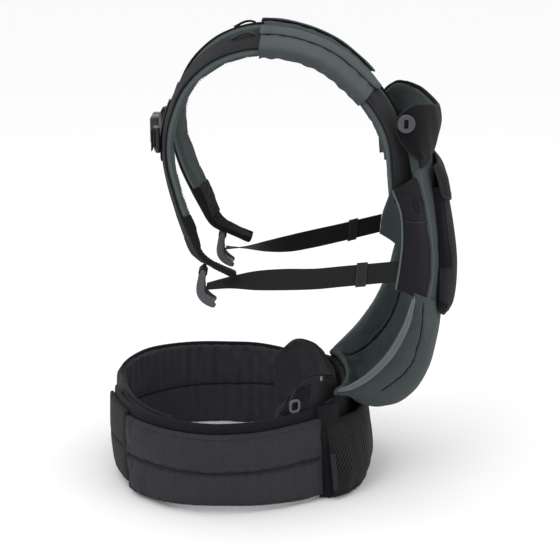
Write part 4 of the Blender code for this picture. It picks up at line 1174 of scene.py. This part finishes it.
def make_seat():
    bucket = Panel(seat, (-0.040, 1.020), (-0.035, 1.035), 0.0030, -0.0040, CHILD, rim=0.0034)
    darts = both_sides([(0.97, 0.135), (0.72, 0.175), (0.45, 0.165)])
    inner = both_sides([(0.08, 0.19), (0.5, 0.175), (0.97, 0.13)])
    obj = bucket.build("seat_cover", 0.0034,
                       rise=channels(bucket, darts, 0.0010, 0.0018, 0.0038, 0.0006, 111),
                       drop=lambda a, b: -channels(bucket, inner, 0.0010, 0.0018, 0.0038, 0.0004,
                                                   121)(a, b))
    puff(obj, bucket, darts + inner, pressure=1.2, growth=0.02, cap=0.0016, inner_cap=0.0016)
    stand_in(obj, "green", "seat_bucket", "padded")
    two_tone(obj, "green_dark")
    # A dark tube along each dart paints the shade in its crease; the green stitches beside it are
    # the seam.
    for index, line in enumerate(darts):
        edge_tube("seat_dart_%d" % index, bucket, line, "seat_bucket", "thread_dark",
                  0.0014, 0.0018, lift=0.0006, sides=8)
        seam_on(bucket, line, "seat_bucket", "thread_green", twin=0.0040, lift=0.0001)
    for index, line in enumerate(inner):
        edge_tube("seat_inner_seam_%d" % index, bucket, line, "seat_bucket", "binding",
                  0.0014, 0.0018, side=-1, lift=0.0006, sides=8)
    for name, line in (("right", leg_edge), ("left", leg_edge * np.array([1, -1, 1]))):
        node = "leg_edge_" + name
        t = np.linspace(0, 1.06, 150)
        path = curve(line, t)
        ahead = unit(np.gradient(path, axis=0))
        out = unit(np.cross(ahead, np.cross(np.array([0.2, np.sign(line[0, 1]), 0.3]), ahead)))
        taper = 0.36 + 0.64 * np.sin(np.pi * np.clip(t / 1.06, 0, 1)) ** 0.7
        ribs = taper * (0.98 + 0.045 * np.abs(np.sin(t * 62)))
        obj = sweep("leg_roll_" + name, path, out, ring_profile(0.0092, 0.0094, 16), scale=ribs,
                    end_round=0.8)
        stand_in(obj, "roll", node, "padded")
        across = np.cross(out, ahead)
        for angle, tone in ((0.9, "thread_green"), (-0.35, "thread_green")):
            way = out * math.cos(angle) + across * math.sin(angle)
            stitch(path + way * (0.0052 * taper[:, None]), way, node, tone, 0.0022, 0.0022, 0.0003)
            # Each light cord is partly the roll's light stitch line and partly a painted highlight
            # along its ridge.
            cord = sweep("leg_cord_%s_%d" % (name, angle > 0),
                         path + way * (0.0043 * taper[:, None]), way,
                         ring_profile(0.0014, 0.0013, 8))
            adopt(cord, "cord", node)


def make_body():
    body = Panel(body_panel, (-0.050, 1.015), (-0.022, 1.022), 0.0020, -0.0040, CHILD)
    obj = body.build("body_panel_cover", 0.0038,
                     rise=lambda a, b: ripple(b * 0.25, a * 0.17, 0.04, 131) * 0.0004)
    stand_in(obj, "green", "body_panel", "padded")
    two_tone(obj, "green_dark")
    for b in (0.035, 0.965):
        edge_tube("body_piping_%d" % round(b), body, [(0.02, b), (0.98, b)], "body_panel",
                  "piping", 0.0022, 0.0022, lift=0.0004)
        seam_on(body, [(0.02, abs(b - 0.016)), (0.98, abs(b - 0.016))], "body_panel",
                "thread_green", lift=0.0002)
    for name, sheet in (("right", side_panel), ("left", left_panel)):
        make_side_panel(name, sheet)


def make_side_panel(name, sheet):
    node = "side_panel_" + name
    side = Panel(sheet, (-0.070, 1.0), (-0.050, 1.0), 0.0028, -0.0030, CHILD)
    diagonal = [(0.80, 0.0), (0.90, 0.5), (0.98, 1.0)]
    shape = channels(side, [diagonal], 0.0007, 0.0014, 0.0018, 0.0003, 141)
    obj = side.build("side_panel_cover_" + name, 0.0024, rise=shape)
    stand_in(obj, "black", node, "padded")
    two_tone(obj, "green_dark")
    for b in (0.0, 1.0):
        edge_tube("side_piping_%s_%d" % (name, round(b)), side, [(0.0, b), (1.0, b)], node,
                  "piping", 0.0023, 0.0023, lift=0.0008)
        inset = 0.10 if b == 0 else 0.90
        seam_on(side, [(0.02, inset), (0.98, inset)], node, lift=0.0002)
    seam_on(side, diagonal, node, twin=0.0022, lift=0.0002)
    seam_on(side, [(0.685, 0.10), (0.70, 0.90)], node, "thread_grey", lift=0.0003,
            length=0.0018, gap=0.0012)
    # Buttonhole: an oval of bar tacks around a dark sheet that paints the shade in the slit, for
    # the head support's button.
    t = circle(40)
    a = 0.815 + 0.052 * np.cos(t)
    b = 0.40 + 0.075 * np.sin(t)
    path = side.place(a, b, 1, 0.0002)
    obj = sweep("buttonhole_" + name, path, side.normals(a, b), ring_profile(0.0021, 0.0014, 8),
                closed=True)
    adopt(obj, "thread_dark", node)
    # The slit is a dark sheet laid on the cloth: painted shade.
    slit = Panel(sheet, (0.775, 0.855), (0.375, 0.425), 0.0040, 0.0034, CHILD)
    adopt(slit.build("buttonhole_slit_" + name, 0.002), "thread_dark", node)


def bridge(name, low_line, high_line, inside, material, node, thickness=0.0026, swell=0.0):
    """Fabric sewn between two lines of points, one on each of two neighbouring panels."""
    low_line, high_line = np.asarray(low_line), np.asarray(high_line)
    middle = (low_line + high_line) / 2 + swell * unit((low_line + high_line) / 2 - inside)
    sheet = np.stack([low_line, middle, high_line], 1)
    strip = Panel(sheet, ALL, ALL, thickness / 2, -thickness / 2, inside)
    obj = strip.build(name, 0.0026)
    return adopt(obj, material, node, soft="padded")


def make_sewn_joins():
    """Closes the seat to the belt, and the head support to the body panel's top edge."""
    share = np.linspace(0.02, 0.98, 13)
    bridge("seat_to_belt", on_sheet(belt_front, 0.07, share), on_sheet(seat, 0.035, share),
           np.array([0.0, 0.0, 0.12]), "black", "belt_front", 0.0030, 0.0008)
    share = np.linspace(0.06, 0.94, 13)
    obj = bridge("head_hinge_fabric", on_sheet(body_panel, 0.985, share),
                 on_sheet(head, 0.09, share), np.array(HEAD), "black", "head_support", 0.0024,
                 0.0006)
    bend(obj)


def make_front_pocket():
    pocket = Panel(front_pocket, ALL, ALL, 0.0012, -0.0012, CHILD)

    def sag(a, b):
        x, y = a * pocket.length, b * pocket.height
        return (ripple(y, x, 0.045, 151, 1.6) * 0.0010
                + 0.0012 * np.sin(math.pi * np.clip(a, 0, 1)) * np.sin(math.pi * b))
    obj = pocket.build("front_pocket_cover", 0.0032, rise=sag, drop=sag)
    stand_in(obj, "black", "front_pocket", "sheet", panel=pocket)
    for b in (0.165, 0.835):
        seam_on(pocket, [(0.10, b), (0.98, b)], "front_pocket", lift=0.0003)
        edge_tube("pocket_edge_%d" % round(b), pocket, [(0.06, b), (0.99, b)], "front_pocket",
                  "binding", 0.0026, 0.0022, lift=0.0002)
    seam_on(pocket, [(0.10, 0.17), (0.10, 0.83)], "front_pocket", lift=0.0003)
    seam_on(pocket, [(0.965, 0.02), (0.965, 0.98)], "front_pocket", twin=0.004, lift=0.0003)
    edge_tube("pocket_hem", pocket, [(0.997, 0.0), (0.997, 1.0)], "front_pocket", "binding",
              0.0060, 0.0032)
    for name, v_range in (("right", (0.0, 1 / 6)), ("left", (5 / 6, 1.0))):
        node = "pocket_elastic_" + name
        gusset = Panel(front_pocket, (0.25, 0.5), v_range, 0.0030, 0.0015, CHILD)
        obj = gusset.build("pocket_gusset_" + name, 0.0012,
                           rise=lambda a, b: 0.0006 * np.sin(a * 2 * math.pi * 13))
        stand_in(obj, "elastic", node, "sheet", panel=gusset)
        seams_across(gusset, (0.06, 0.94), (0.05, 0.95), node, lift=0.0003)
    cover = Panel(flap, ALL, ALL, 0.0014, -0.0012, CHILD)

    def drape(a, b):
        return ripple(b * cover.height, a * 0.05, 0.050, 161, 1.5) * 0.0009 * a
    obj = cover.build("flap_cover", 0.0028, rise=drape, drop=drape)
    stand_in(obj, "black", "pocket_flap", "sheet", panel=cover)
    border = [(0.08, 0.012), (0.91, 0.018), (0.91, 0.982), (0.08, 0.988)]
    seam_on(cover, border, "pocket_flap", lift=0.0003)
    edge_tube("flap_hem", cover, [(0.02, 0.0), (0.985, 0.0), (1.0, 0.015), (1.0, 0.985),
                                  (0.985, 1.0), (0.02, 1.0)],
              "pocket_flap", "label", 0.0036, 0.0030)


# ================================================================ head support
HEAD = (0.140, 0.0, 0.47)
head = whole(rails(
    [(156, -113, 417), (144, -115, 430), (134, -115.5, 446), (132, -114.5, 466)],
    [(164, -104, 416.5), (159, -108, 435), (154, -110, 458), (150.5, -108.5, 479)],
    [(173.5, -79, 416), (175.5, -82, 434), (176.5, -83, 456), (173.5, -80, 476)],
    [(180.5, -41, 415.5), (185, -43, 433), (188, -43, 452), (185.5, -41, 469)],
    [(182.5, 0, 415.5), (188, 0, 433), (191.5, 0, 450), (189.5, 0, 466)]))


def make_head_support():
    shell = Panel(head, ALL, ALL, 0.0032, 0.0004, HEAD)
    obj = shell.build("head_shell", 0.0026,
                      rise=lambda a, b: ripple(b * 0.33, a * 0.05, 0.035, 171, 1.5) * 0.0007)
    # The head shell wears the darker copy of the black cloth: painted shade.
    stand_in(obj, "head_black_painted_shade", "head_support", "padded")
    lining = Panel(head, (0.03, 0.97), (0.015, 0.985), -0.0012, -0.0058, HEAD)
    quilt = channels(lining, [], 0.0010, 0.0, 0.003, 0.0004, 181)
    obj = lining.build("head_lining", 0.0030, drop=lambda a, b: -quilt(a, b))
    puff(obj, lining, [], pressure=1.5, growth=0.02, cap=0.0002, inner_cap=0.0016)
    stand_in(obj, "green", "head_support_lining", "padded")
    around = [(0.02, 0.0), (0.97, 0.0), (1.0, 0.03), (1.0, 0.97), (0.97, 1.0), (0.02, 1.0)]
    edge_tube("head_piping", shell, around, "head_support", "label", 0.0020, 0.0020)
    seams_along(shell, (0.06, 0.94), (0.028, 0.972), "head_support", lift=0.0002)
    seam_on(shell, [(0.92, 0.03), (0.92, 0.97)], "head_support", lift=0.0002)
    seam_on(lining, [(0.90, 0.03), (0.90, 0.97)], "head_support_lining", "thread_green", side=-1,
            lift=0.0002)
    for name in ("right", "left"):
        make_button(name)


def make_button(name):
    """Round button: dished face, raised rim and a slot through it."""
    node = "head_button_" + name
    low, high = (np.array(corner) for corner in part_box(node))
    centre = (low + high) / 2
    y_sign = 1.0 if name == "right" else -1.0
    angle = math.radians(12) * y_sign
    facing = np.array([math.sin(angle), -math.cos(angle), 0.0]) * y_sign
    across = np.array([math.cos(angle), math.sin(angle), 0.0])
    profile = [(0.0, 0.0012), (0.0060, 0.0012), (0.0078, 0.0014), (0.0088, 0.0021),
               (0.0097, 0.0022), (0.0104, 0.0016), (0.0107, 0.0004), (0.0106, -0.0010),
               (0.0098, -0.0018), (0.0, -0.0019)]
    sides = 48
    points = [centre + facing * profile[0][1]]
    for radius, height in profile[1:-1]:
        for t in circle(sides):
            points.append(centre + facing * height + across * radius * math.cos(t)
                          + UP * radius * math.sin(t))
    points.append(centre + facing * profile[-1][1])
    faces = []
    for j in range(sides):
        k = (j + 1) % sides
        faces.append([0, 1 + j, 1 + k])
        for i in range(len(profile) - 3):
            low_row, high_row = 1 + i * sides, 1 + (i + 1) * sides
            faces.append([low_row + j, high_row + j, high_row + k, low_row + k])
        last = 1 + (len(profile) - 3) * sides
        faces.append([last + j, len(points) - 1, last + k])
    obj = outward(mesh_object("button_" + name, points, faces))
    carve(obj, rounded_box("button_slot", (0.0054, 0.0200, 0.0102), centre, 0.0012,
                           (0.0, 0.0, angle)))
    stand_in(obj, "grey_plastic", node)
    bar = rounded_box("button_bar_" + name, (0.0050, 0.0010, 0.0100), centre - facing * 0.0014,
                      0.0003, (0.0, 0.0, angle))
    adopt(bar, "thread_dark", node)


# ================================================================ shoulder straps
NECK_EDGE = [(151, -79, 403.5), (145, -74, 432), (134, -70, 460), (116, -64, 488), (92, -57, 514),
             (60, -51, 537), (20, -48, 552), (-20, -48, 557), (-54, -51, 551), (-83, -55, 536),
             (-108, -59, 511), (-125.5, -61, 479), (-135, -63, 447), (-136.5, -64, 414),
             (-132, -65, 381), (-122, -67, 347), (-111, -72, 316)]
ARM_EDGE = [(127.5, -133, 393.5), (124, -129, 432), (116, -126.5, 457), (101, -122.5, 481),
            (80, -118, 503), (50, -114, 526.5), (13, -111, 540), (-24, -110, 543),
            (-57, -110, 537), (-85, -111, 523), (-108, -113, 500), (-122, -115, 472),
            (-129, -116, 443), (-129, -115, 413), (-122.5, -112, 382), (-113, -107, 349),
            (-101, -101, 319)]


def left_of(sheet):
    """Mirror a strap sheet; its lower ends hang a little further forward."""
    result = mirrored(sheet)
    front = result[..., 0] >= 0.0
    top = np.where(front, 0.500, 0.440)
    rise = np.where(front, 0.070, 0.160)
    result[..., 0] += np.where(front, 0.007, FORWARD_LEAN) * smooth((top - result[..., 2]) / rise)
    return result


right_strap = rails(NECK_EDGE, ARM_EDGE)
strap_end = rails(
    [(-110.5, -73, 314.5), (-105, -76, 302), (-95.5, -79, 293.5), (-81, -84, 287.5),
     (-65, -88, 282.5), (-52, -90, 278.5)],
    [(-98.5, -100.5, 317.5), (-93.5, -101, 305), (-86, -102, 296.5), (-76.5, -106, 291),
     (-63.5, -109, 285.5), (-51, -109, 280.5)])
SIDES = {
    "right": (1.0, right_strap, strap_end),
    "left": (-1.0, left_of(right_strap), left_of(strap_end)),
}
SLEEVE = (0.205, 0.437)      # shares along a strap between which its sleeve lies
SEAM_INSET = 0.006           # from a strap's edge to the seam along its face
FACE = 0.0024                # how far a strap's outer fabric stands off the foam


def inside_strap(y_sign):
    """A place in the wearer's shoulder, which a strap's lining faces."""
    return (0.0, -0.09 * y_sign, 0.44)


def make_strap(name, y_sign, strap, end_sheet):
    arm = inside_strap(y_sign)
    seed = 200 if name == "right" else 230
    lining = Panel(strap, (-0.018, 21 / CELLS), (-0.03, 1.03), -0.0002, -FOAM, arm, rim=0.0050)
    foam = channels(lining, [], 0.0004, 0.0, 0.003, 0.0003, seed)
    thin = FOAM - 0.0028

    def under(a, b):
        return thin * (1 - smooth(a / 0.15)) - foam(a, b)
    obj = lining.build("strap_foam_" + name, 0.0034, drop=under)
    puff(obj, lining, [], pressure=1.2, growth=0.02, cap=0.0002, inner_cap=0.0012)
    node = "strap_lining_" + name
    stand_in(obj, "green_light", node, "padded")
    two_tone(obj, "green_dark")
    seams_along(lining, (0.01, 0.99), (0.09, 0.91), node, "thread_green", side=-1, lift=0.0001)

    face = Panel(strap, (-0.036, 1.0), (0.0, 1.0), FACE, 0.0003, arm)

    def cover(a, b):
        x, y = a * face.length, b * face.height
        edge = np.minimum(b, 1 - b) * face.height
        crown = 0.0008 * (1 - np.exp(-edge / 0.010))
        crown = crown - 0.0008 * np.exp(-((edge - SEAM_INSET) / 0.0016) ** 2)
        return crown + ripple(y, x, 0.040, seed + 5, 1.4) * 0.00035
    obj = face.build("strap_cover_" + name, 0.0030, rise=cover)
    node = "strap_face_" + name
    stand_in(obj, "black", node, "padded")
    inset = SEAM_INSET / face.height
    seams_along(face, (0.006, 0.994), (inset, 1 - inset), node, lift=0.0001)
    wrap = Panel(strap, (0.938, 1.020), (-0.055, 1.055), FACE + 0.0006, -FOAM - 0.0012, arm,
                 rim=0.0020)

    def taper(a, b):
        folds = ripple(a * wrap.length, b * wrap.height, 0.012, seed + 7, 1.5) * 0.0004
        return folds + 0.0042 * smooth((a - 0.25) / 0.75)
    obj = wrap.build("strap_wrap_" + name, 0.0022, drop=taper)
    adopt(obj, "tab", "strap_face_" + name, soft="padded")
    for a in (0.10, 0.52):
        seam_on(wrap, [(a, 0.06), (a, 0.94)], node, lift=0.0001)
        seam_on(wrap, [(a, 0.06), (a, 0.94)], node, side=-1, lift=0.0001)

    make_sleeve(name, strap, arm, seed)
    end = Panel(end_sheet, (-0.06, 1.0), (-0.06, 1.06), 0.0036, -0.0036, arm, rim=0.0034)
    wear = channels(end, [[(0.55, 0.0), (0.60, 1.0)]], 0.0004, 0.0010, 0.0016, 0.0002, seed + 9)
    droop = 0.0060 if name == "left" else 0.0015

    def upper(a, b):
        return droop * smooth((a - 0.5) / 0.5) - wear(a, b)

    def lower(a, b):
        return droop * smooth((a - 0.5) / 0.5) + wear(a, b)
    obj = end.build("strap_end_tab_" + name, 0.0016, rise=lower, drop=upper)
    node = "strap_end_" + name
    stand_in(obj, "tab", node, "padded")
    box_x = [(0.10, 0.14), (0.90, 0.14), (0.90, 0.86), (0.10, 0.86), (0.10, 0.14)]
    for side in (1, -1):
        for line in (box_x, [(0.10, 0.14), (0.90, 0.86)], [(0.10, 0.86), (0.90, 0.14)]):
            seam_on(end, line, node, side=side, lift=0.0001)
    make_strap_loop(name, strap, arm)


def make_sleeve(name, strap, arm, seed):
    """Fabric sleeve round the strap, with a flap lapped over its outer face."""

    def slack(x, angle):
        low = np.exp(-((angle - 4.4) / 0.9) ** 2)
        return ripple(x, angle * 0.02, 0.016, seed + 12, 2.5) * (0.0005 + 0.0011 * low)
    node = "strap_sleeve_" + name
    obj, shell = cuff("sleeve_tube_" + name, strap, SLEEVE, arm, 0.0038, -0.0108, 0.0036, 0.0014,
                      wrinkle=slack)
    stand_in(obj, "green_light", node)
    probe = Panel(strap, SLEEVE, ALL, 0.0056, 0.0040, arm)
    wide = probe.flat_size()[0]
    for row in HEM_ROWS:
        ring = closed_ring(shell[row])
        stitch(ring, unit(ring - shell[row].mean(0)), node, "thread_green", 0.0022, 0.0012)

    flap_node = "sleeve_flap_" + name
    lap = Panel(strap, (0.198, 0.440), (-0.03, 0.42), 0.0080, 0.0058, arm)

    def corner(a):
        near_end = np.clip(1 - np.asarray(a, float) / 0.09, 0.0, 1.0)
        return 1 - 0.42 * (1 - np.sqrt(1 - 0.999 * near_end ** 2))
    lap.trim = corner

    def rounded(a, b):
        return ripple(b * lap.height, a * lap.length, 0.030, seed + 15, 1.5) * 0.0006
    obj = lap.build("sleeve_lap_" + name, 0.0022, rise=rounded)
    stand_in(obj, "green_light", flap_node, "sheet", panel=lap)
    hem = [(0.99, 1.0), (0.5, 1.0), (0.1, 1.0), (0.03, 0.99), (0.004, 0.97), (0.0, 0.06)]
    edge_tube("sleeve_lap_hem_" + name, lap, hem, flap_node, "green_light", 0.0022, 0.0020)
    border = [(0.985, 0.10), (0.02, 0.10), (0.02, 0.88), (0.985, 0.88)]
    seam_on(lap, border, flap_node, "thread_green", lift=0.0001)
    seam_on(lap, [(0.93, 0.08), (0.93, 0.92)], flap_node, "thread_green", twin=0.0024,
            lift=0.0001)


def make_strap_loop(name, strap, arm):
    """Small webbing loop standing on the strap behind its sleeve."""
    share = 0.34
    probe = Panel(strap, ALL, ALL, FACE, 0.0, arm)
    arch = [(0.452, 0.0050), (0.458, 0.0068), (0.468, 0.0080), (0.480, 0.0074), (0.492, 0.0058),
            (0.500, 0.0050)]
    control = np.array([probe.base(u, share) + probe.normals(u, share) * h for u, h in arch])
    path = curve(control, np.linspace(0, 1, 40))
    up = probe.normals(np.interp(np.linspace(0, 1, 40), np.linspace(0, 1, 6),
                                 [u for u, _ in arch]), share)
    node = "strap_loop_" + name
    obj = sweep("carry_loop_" + name, path, up, strap_profile(0.0090, 0.0020, 8))
    # The two loops differ only by painted light and shade: the near right one wears the lighter
    # label cloth, the far left one the darker binding.
    stand_in(obj, "label" if name == "right" else "binding", node)


# ================================================================ side straps
web_right = rails(
    [(-87, -108, 262), (-58, -110, 264), (-28, -113, 262.5), (5, -117, 263.5), (40, -124, 266.5),
     (71, -128.8, 270.8), (102, -133.6, 275.1), (133, -138.4, 279.4)],
    [(-87, -84, 263.5), (-58, -87, 272.5), (-28, -96, 281.5), (5, -111, 288),
     (40, -123.2, 291.5), (72, -128.2, 295.8), (104, -133.2, 300.1), (136, -138.2, 304.4)])
web_left = rails(
    [(-71, 108, 262), (-44, 110, 258), (-16, 113, 253), (14, 117, 252), (45, 123, 256),
     (74.5, 128.2, 261.5), (104, 133.4, 267.5), (133, 138.6, 273.5)],
    [(-71, 84, 263.5), (-44, 87, 266.5), (-16, 96, 272), (14, 110, 276.5), (45, 122.2, 281),
     (75.5, 127.6, 286.5), (106, 133, 292.5), (135.5, 138.2, 298.5)])
LOCK_SPINE = [(-0.0870, 0.2862), (-0.0890, 0.2780), (-0.0904, 0.2690), (-0.0902, 0.2610),
              (-0.0872, 0.2545), (-0.0815, 0.2492), (-0.0750, 0.2455)]
LOCK_WIDTH = 0.031
TURN_RADIUS = 0.00475        # webbing that turns round a bar of a ladder lock


def make_side_strap(name, web, y_sign, lean):
    core = (0.0, 0.0, 0.27)
    node = "side_webbing_" + name
    band = Panel(web, ALL, ALL, WEBBING / 2, -WEBBING / 2, core, rim=0.0008)
    obj = band.build("side_band_" + name, 0.0024)
    stand_in(obj, "webbing", node, "sheet", panel=band)

    keeper = "webbing_keeper_" + name
    obj, shell = cuff("keeper_band_" + name, web, (0.790, 0.845), core, 0.0013, -0.0013, 0.0010,
                      0.0010, step=0.0012, around=36)
    stand_in(obj, "elastic", keeper)
    for row in HEM_ROWS:
        ring = closed_ring(shell[row])
        stitch(ring, unit(ring - ring.mean(0)), keeper, "thread_grey", 0.0016, 0.0010, 0.00026)
    make_ladder_lock(name, y_sign, lean)


def make_ladder_lock(name, y_sign, lean):
    """Curved plate with three slots and a rolled lower lip."""
    node = "ladder_lock_" + name
    y_mid = -0.096 * y_sign
    control = np.array([(x - 0.003 + lean, y_mid, z - 0.002) for x, z in LOCK_SPINE])
    path = curve(control, np.linspace(0, 1, 60))
    ahead = unit(np.gradient(path, axis=0))
    up = np.cross(ahead, np.array([0.0, 1.0, 0.0]))
    plate = sweep("lock_plate_" + name, path, up,
                  strap_profile(LOCK_WIDTH, 0.0032, 14), end_round=0.0)
    carve(plate, *(rounded_box("lock_slot", (0.020, wide, tall), (-0.0925 + lean, y_mid, z), 0.0007)
                   for z, tall, wide in ((0.2769, 0.0030, 0.0225), (0.2674, 0.0028, 0.0265),
                                         (0.2586, 0.0028, 0.0265))))
    stand_in(plate, "grey_plastic", node)
    cheek = 0.45 + 0.55 * np.sin(math.pi * np.linspace(0.06, 0.90, 60)) ** 0.7
    for way in (-1, 1):
        line = path + np.array([0.0, way * (LOCK_WIDTH / 2 - 0.0012), 0.0])
        tall = ring_profile(0.0030, 0.0100, 20, 0.2)
        obj = sweep("lock_cheek_%s_%d" % (name, way + 1), line, up, tall, scale=cheek,
                    end_round=0.4)
        adopt(obj, "grey_plastic", node)
    for share in (0.90, 0.97):
        at = int(share * (len(path) - 1))
        ridge = path[at] + up[at] * 0.0016
        line = ridge + np.array([0.0, 1.0, 0.0]) * np.linspace(-0.0135, 0.0135, 12)[:, None]
        obj = sweep("lock_ridge_%s_%d" % (name, round(share * 100)), line, up[at],
                    ring_profile(0.0014, 0.0012, 8))
        adopt(obj, "grey_plastic", node)
    for label, x, z, wide in (("lock_loop_", -0.0907, 0.2813, 0.0200),
                              ("webbing_turn_", -0.0934, 0.2630, 0.0245)):
        band_node = label + name
        t = circle(36)
        ring = np.stack([x + lean + TURN_RADIUS * np.cos(t), np.full_like(t, y_mid),
                         z + TURN_RADIUS * np.sin(t)], -1)
        out = unit(ring - np.array([x + lean, y_mid, z]))
        obj = sweep(band_node + "_band", ring, out, strap_profile(wide, 0.0011, 12), closed=True)
        stand_in(obj, "webbing", band_node)


# ================================================================ back strap
BACK_X, BACK_Z = -0.1488, 0.4360  # the line along which the back strap's webbing runs


def make_back_strap():
    for name, (y_sign, strap, _) in SIDES.items():
        arm = inside_strap(y_sign)
        node = "back_rail_" + name
        rail = Panel(strap, (15 / CELLS, 18 / CELLS), (0.20, 0.36), 0.0052, 0.0035, arm)
        obj = rail.build("rail_band_" + name, 0.0016)
        stand_in(obj, "webbing", node)
        seams_across(rail, (0.1, 0.9), (0.06, 0.94), node, twin=0.0018, lift=0.0001)
        node = "back_slider_" + name
        turn = (0.0, 0.0, math.radians(12.7) * y_sign)
        place = (-0.1431, -0.0815 * y_sign, BACK_Z)
        block = rounded_box("slider_block_" + name, (0.0055, 0.0160, 0.0300), place, 0.0014, turn)
        carve(block, rounded_box("slider_recess", (0.0024, 0.0090, 0.0200),
                                 (place[0] - 0.0028, place[1], place[2]), 0.0006, turn))
        stand_in(block, "black_plastic", node)
    for name, y, length in (("right", -0.0548, 0.0715), ("left", 0.0515, 0.0780)):
        node = "back_webbing_" + name
        line = np.stack([np.full(30, BACK_X), np.linspace(y - length / 2, y + length / 2, 30),
                         np.full(30, BACK_Z)], -1)
        obj = sweep("back_band_" + name, line, (-1.0, 0.0, 0.0),
                    strap_profile(0.025, WEBBING, 14), end_round=0.0)
        stand_in(obj, "webbing", node)
    make_buckle()


def make_buckle():
    """Side-release buckle: a socket with an open mouth, and a plug with three prongs and grip
    ridges.
    """
    socket = rounded_box("back_buckle_socket", (0.0110, 0.0280, 0.0320),
                         (-0.1512, -0.0040, BACK_Z), 0.0026)
    carve(socket, rounded_box("socket_mouth", (0.0050, 0.0240, 0.0255),
                              (-0.1532, 0.0000, BACK_Z), 0.0005))
    stand_in(socket, "black_plastic", "back_buckle_female")
    plug = rounded_box("back_buckle_plug", (0.0110, 0.0180, 0.0320), (-0.1512, 0.0196, BACK_Z),
                       0.0026)
    carve(plug, rounded_box("plug_slot", (0.0024, 0.0400, 0.0262), (BACK_X, 0.0196, BACK_Z),
                            0.0004))
    stand_in(plug, "black_plastic", "back_buckle_male")
    for index, z in enumerate((0.4265, BACK_Z, 0.4455)):
        prong = rounded_box("buckle_prong_%d" % index, (0.0030, 0.0240, 0.0040),
                            (-0.1532, 0.0030, z), 0.0008)
        adopt(prong, "black_plastic", "back_buckle_male")
    for index in range(4):
        ridge = rounded_box("buckle_grip_%d" % index, (0.0008, 0.0012, 0.0200),
                            (-0.1568, 0.0150 + index * 0.0030, BACK_Z), 0.0003)
        adopt(ridge, "black_plastic", "back_buckle_male")


# ================================================================ making it
make_right_wing()
make_left_wing()
make_belt_front()
make_wing_seams()
make_belt_trim()
make_seat()
make_body()
make_front_pocket()
make_head_support()
make_sewn_joins()
for side_name, (side_sign, strap_sheet, end_rails) in SIDES.items():
    make_strap(side_name, side_sign, strap_sheet, end_rails)
make_side_strap("right", web_right, 1.0, 0.0)
make_side_strap("left", web_left, -1.0, FORWARD_LEAN)
make_back_strap()
sew_stitches()


# ================================================================ floor, light and camera
def make_floor():
    bpy.ops.mesh.primitive_plane_add(size=40.0, location=(0.0, 0.0, 0.0))
    floor = bpy.context.object
    floor.name = "studio_floor"
    material = bpy.data.materials.new("studio_floor")
    material.use_nodes = True
    shader = material.node_tree.nodes["Principled BSDF"]
    shader.inputs["Base Color"].default_value = (0.96, 0.96, 0.96, 1.0)
    shader.inputs["Roughness"].default_value = 0.95
    shader.inputs["Specular IOR Level"].default_value = 0.1
    floor.data.materials.append(material)


def area_light(name, place, size, power, target=(0.0, 0.0, 0.28)):
    data = bpy.data.lights.new(name, "AREA")
    data.size = size
    data.energy = power
    light = bpy.data.objects.new(name, data)
    bpy.context.scene.collection.objects.link(light)
    light.location = place
    light.rotation_euler = (Vector(target) - Vector(place)).to_track_quat("-Z", "Y").to_euler()


make_floor()
area_light("key", (-0.9, -1.3, 1.7), 1.2, 9.0)
area_light("top", (0.2, 0.1, 1.9), 1.4, 3.8)
area_light("fill", (1.4, -0.9, 0.9), 1.2, 2.5)
world = bpy.data.worlds.new("studio")
world.use_nodes = True
world.node_tree.nodes["Background"].inputs["Color"].default_value = (1.0, 1.0, 1.0, 1.0)
world.node_tree.nodes["Background"].inputs["Strength"].default_value = 1.0
bpy.context.scene.world = world
bpy.context.scene.view_settings.view_transform = "Standard"

camera_data = bpy.data.cameras.new("camera")
camera_data.lens = 95.9
camera_data.sensor_width = 36.0
camera = bpy.data.objects.new("camera", camera_data)
camera.location = (0.0, -1.8, 0.7297)
camera.rotation_euler = (math.pi / 2 - 0.26328, 0.0, 0.0)
bpy.context.scene.collection.objects.link(camera)
bpy.context.scene.camera = camera
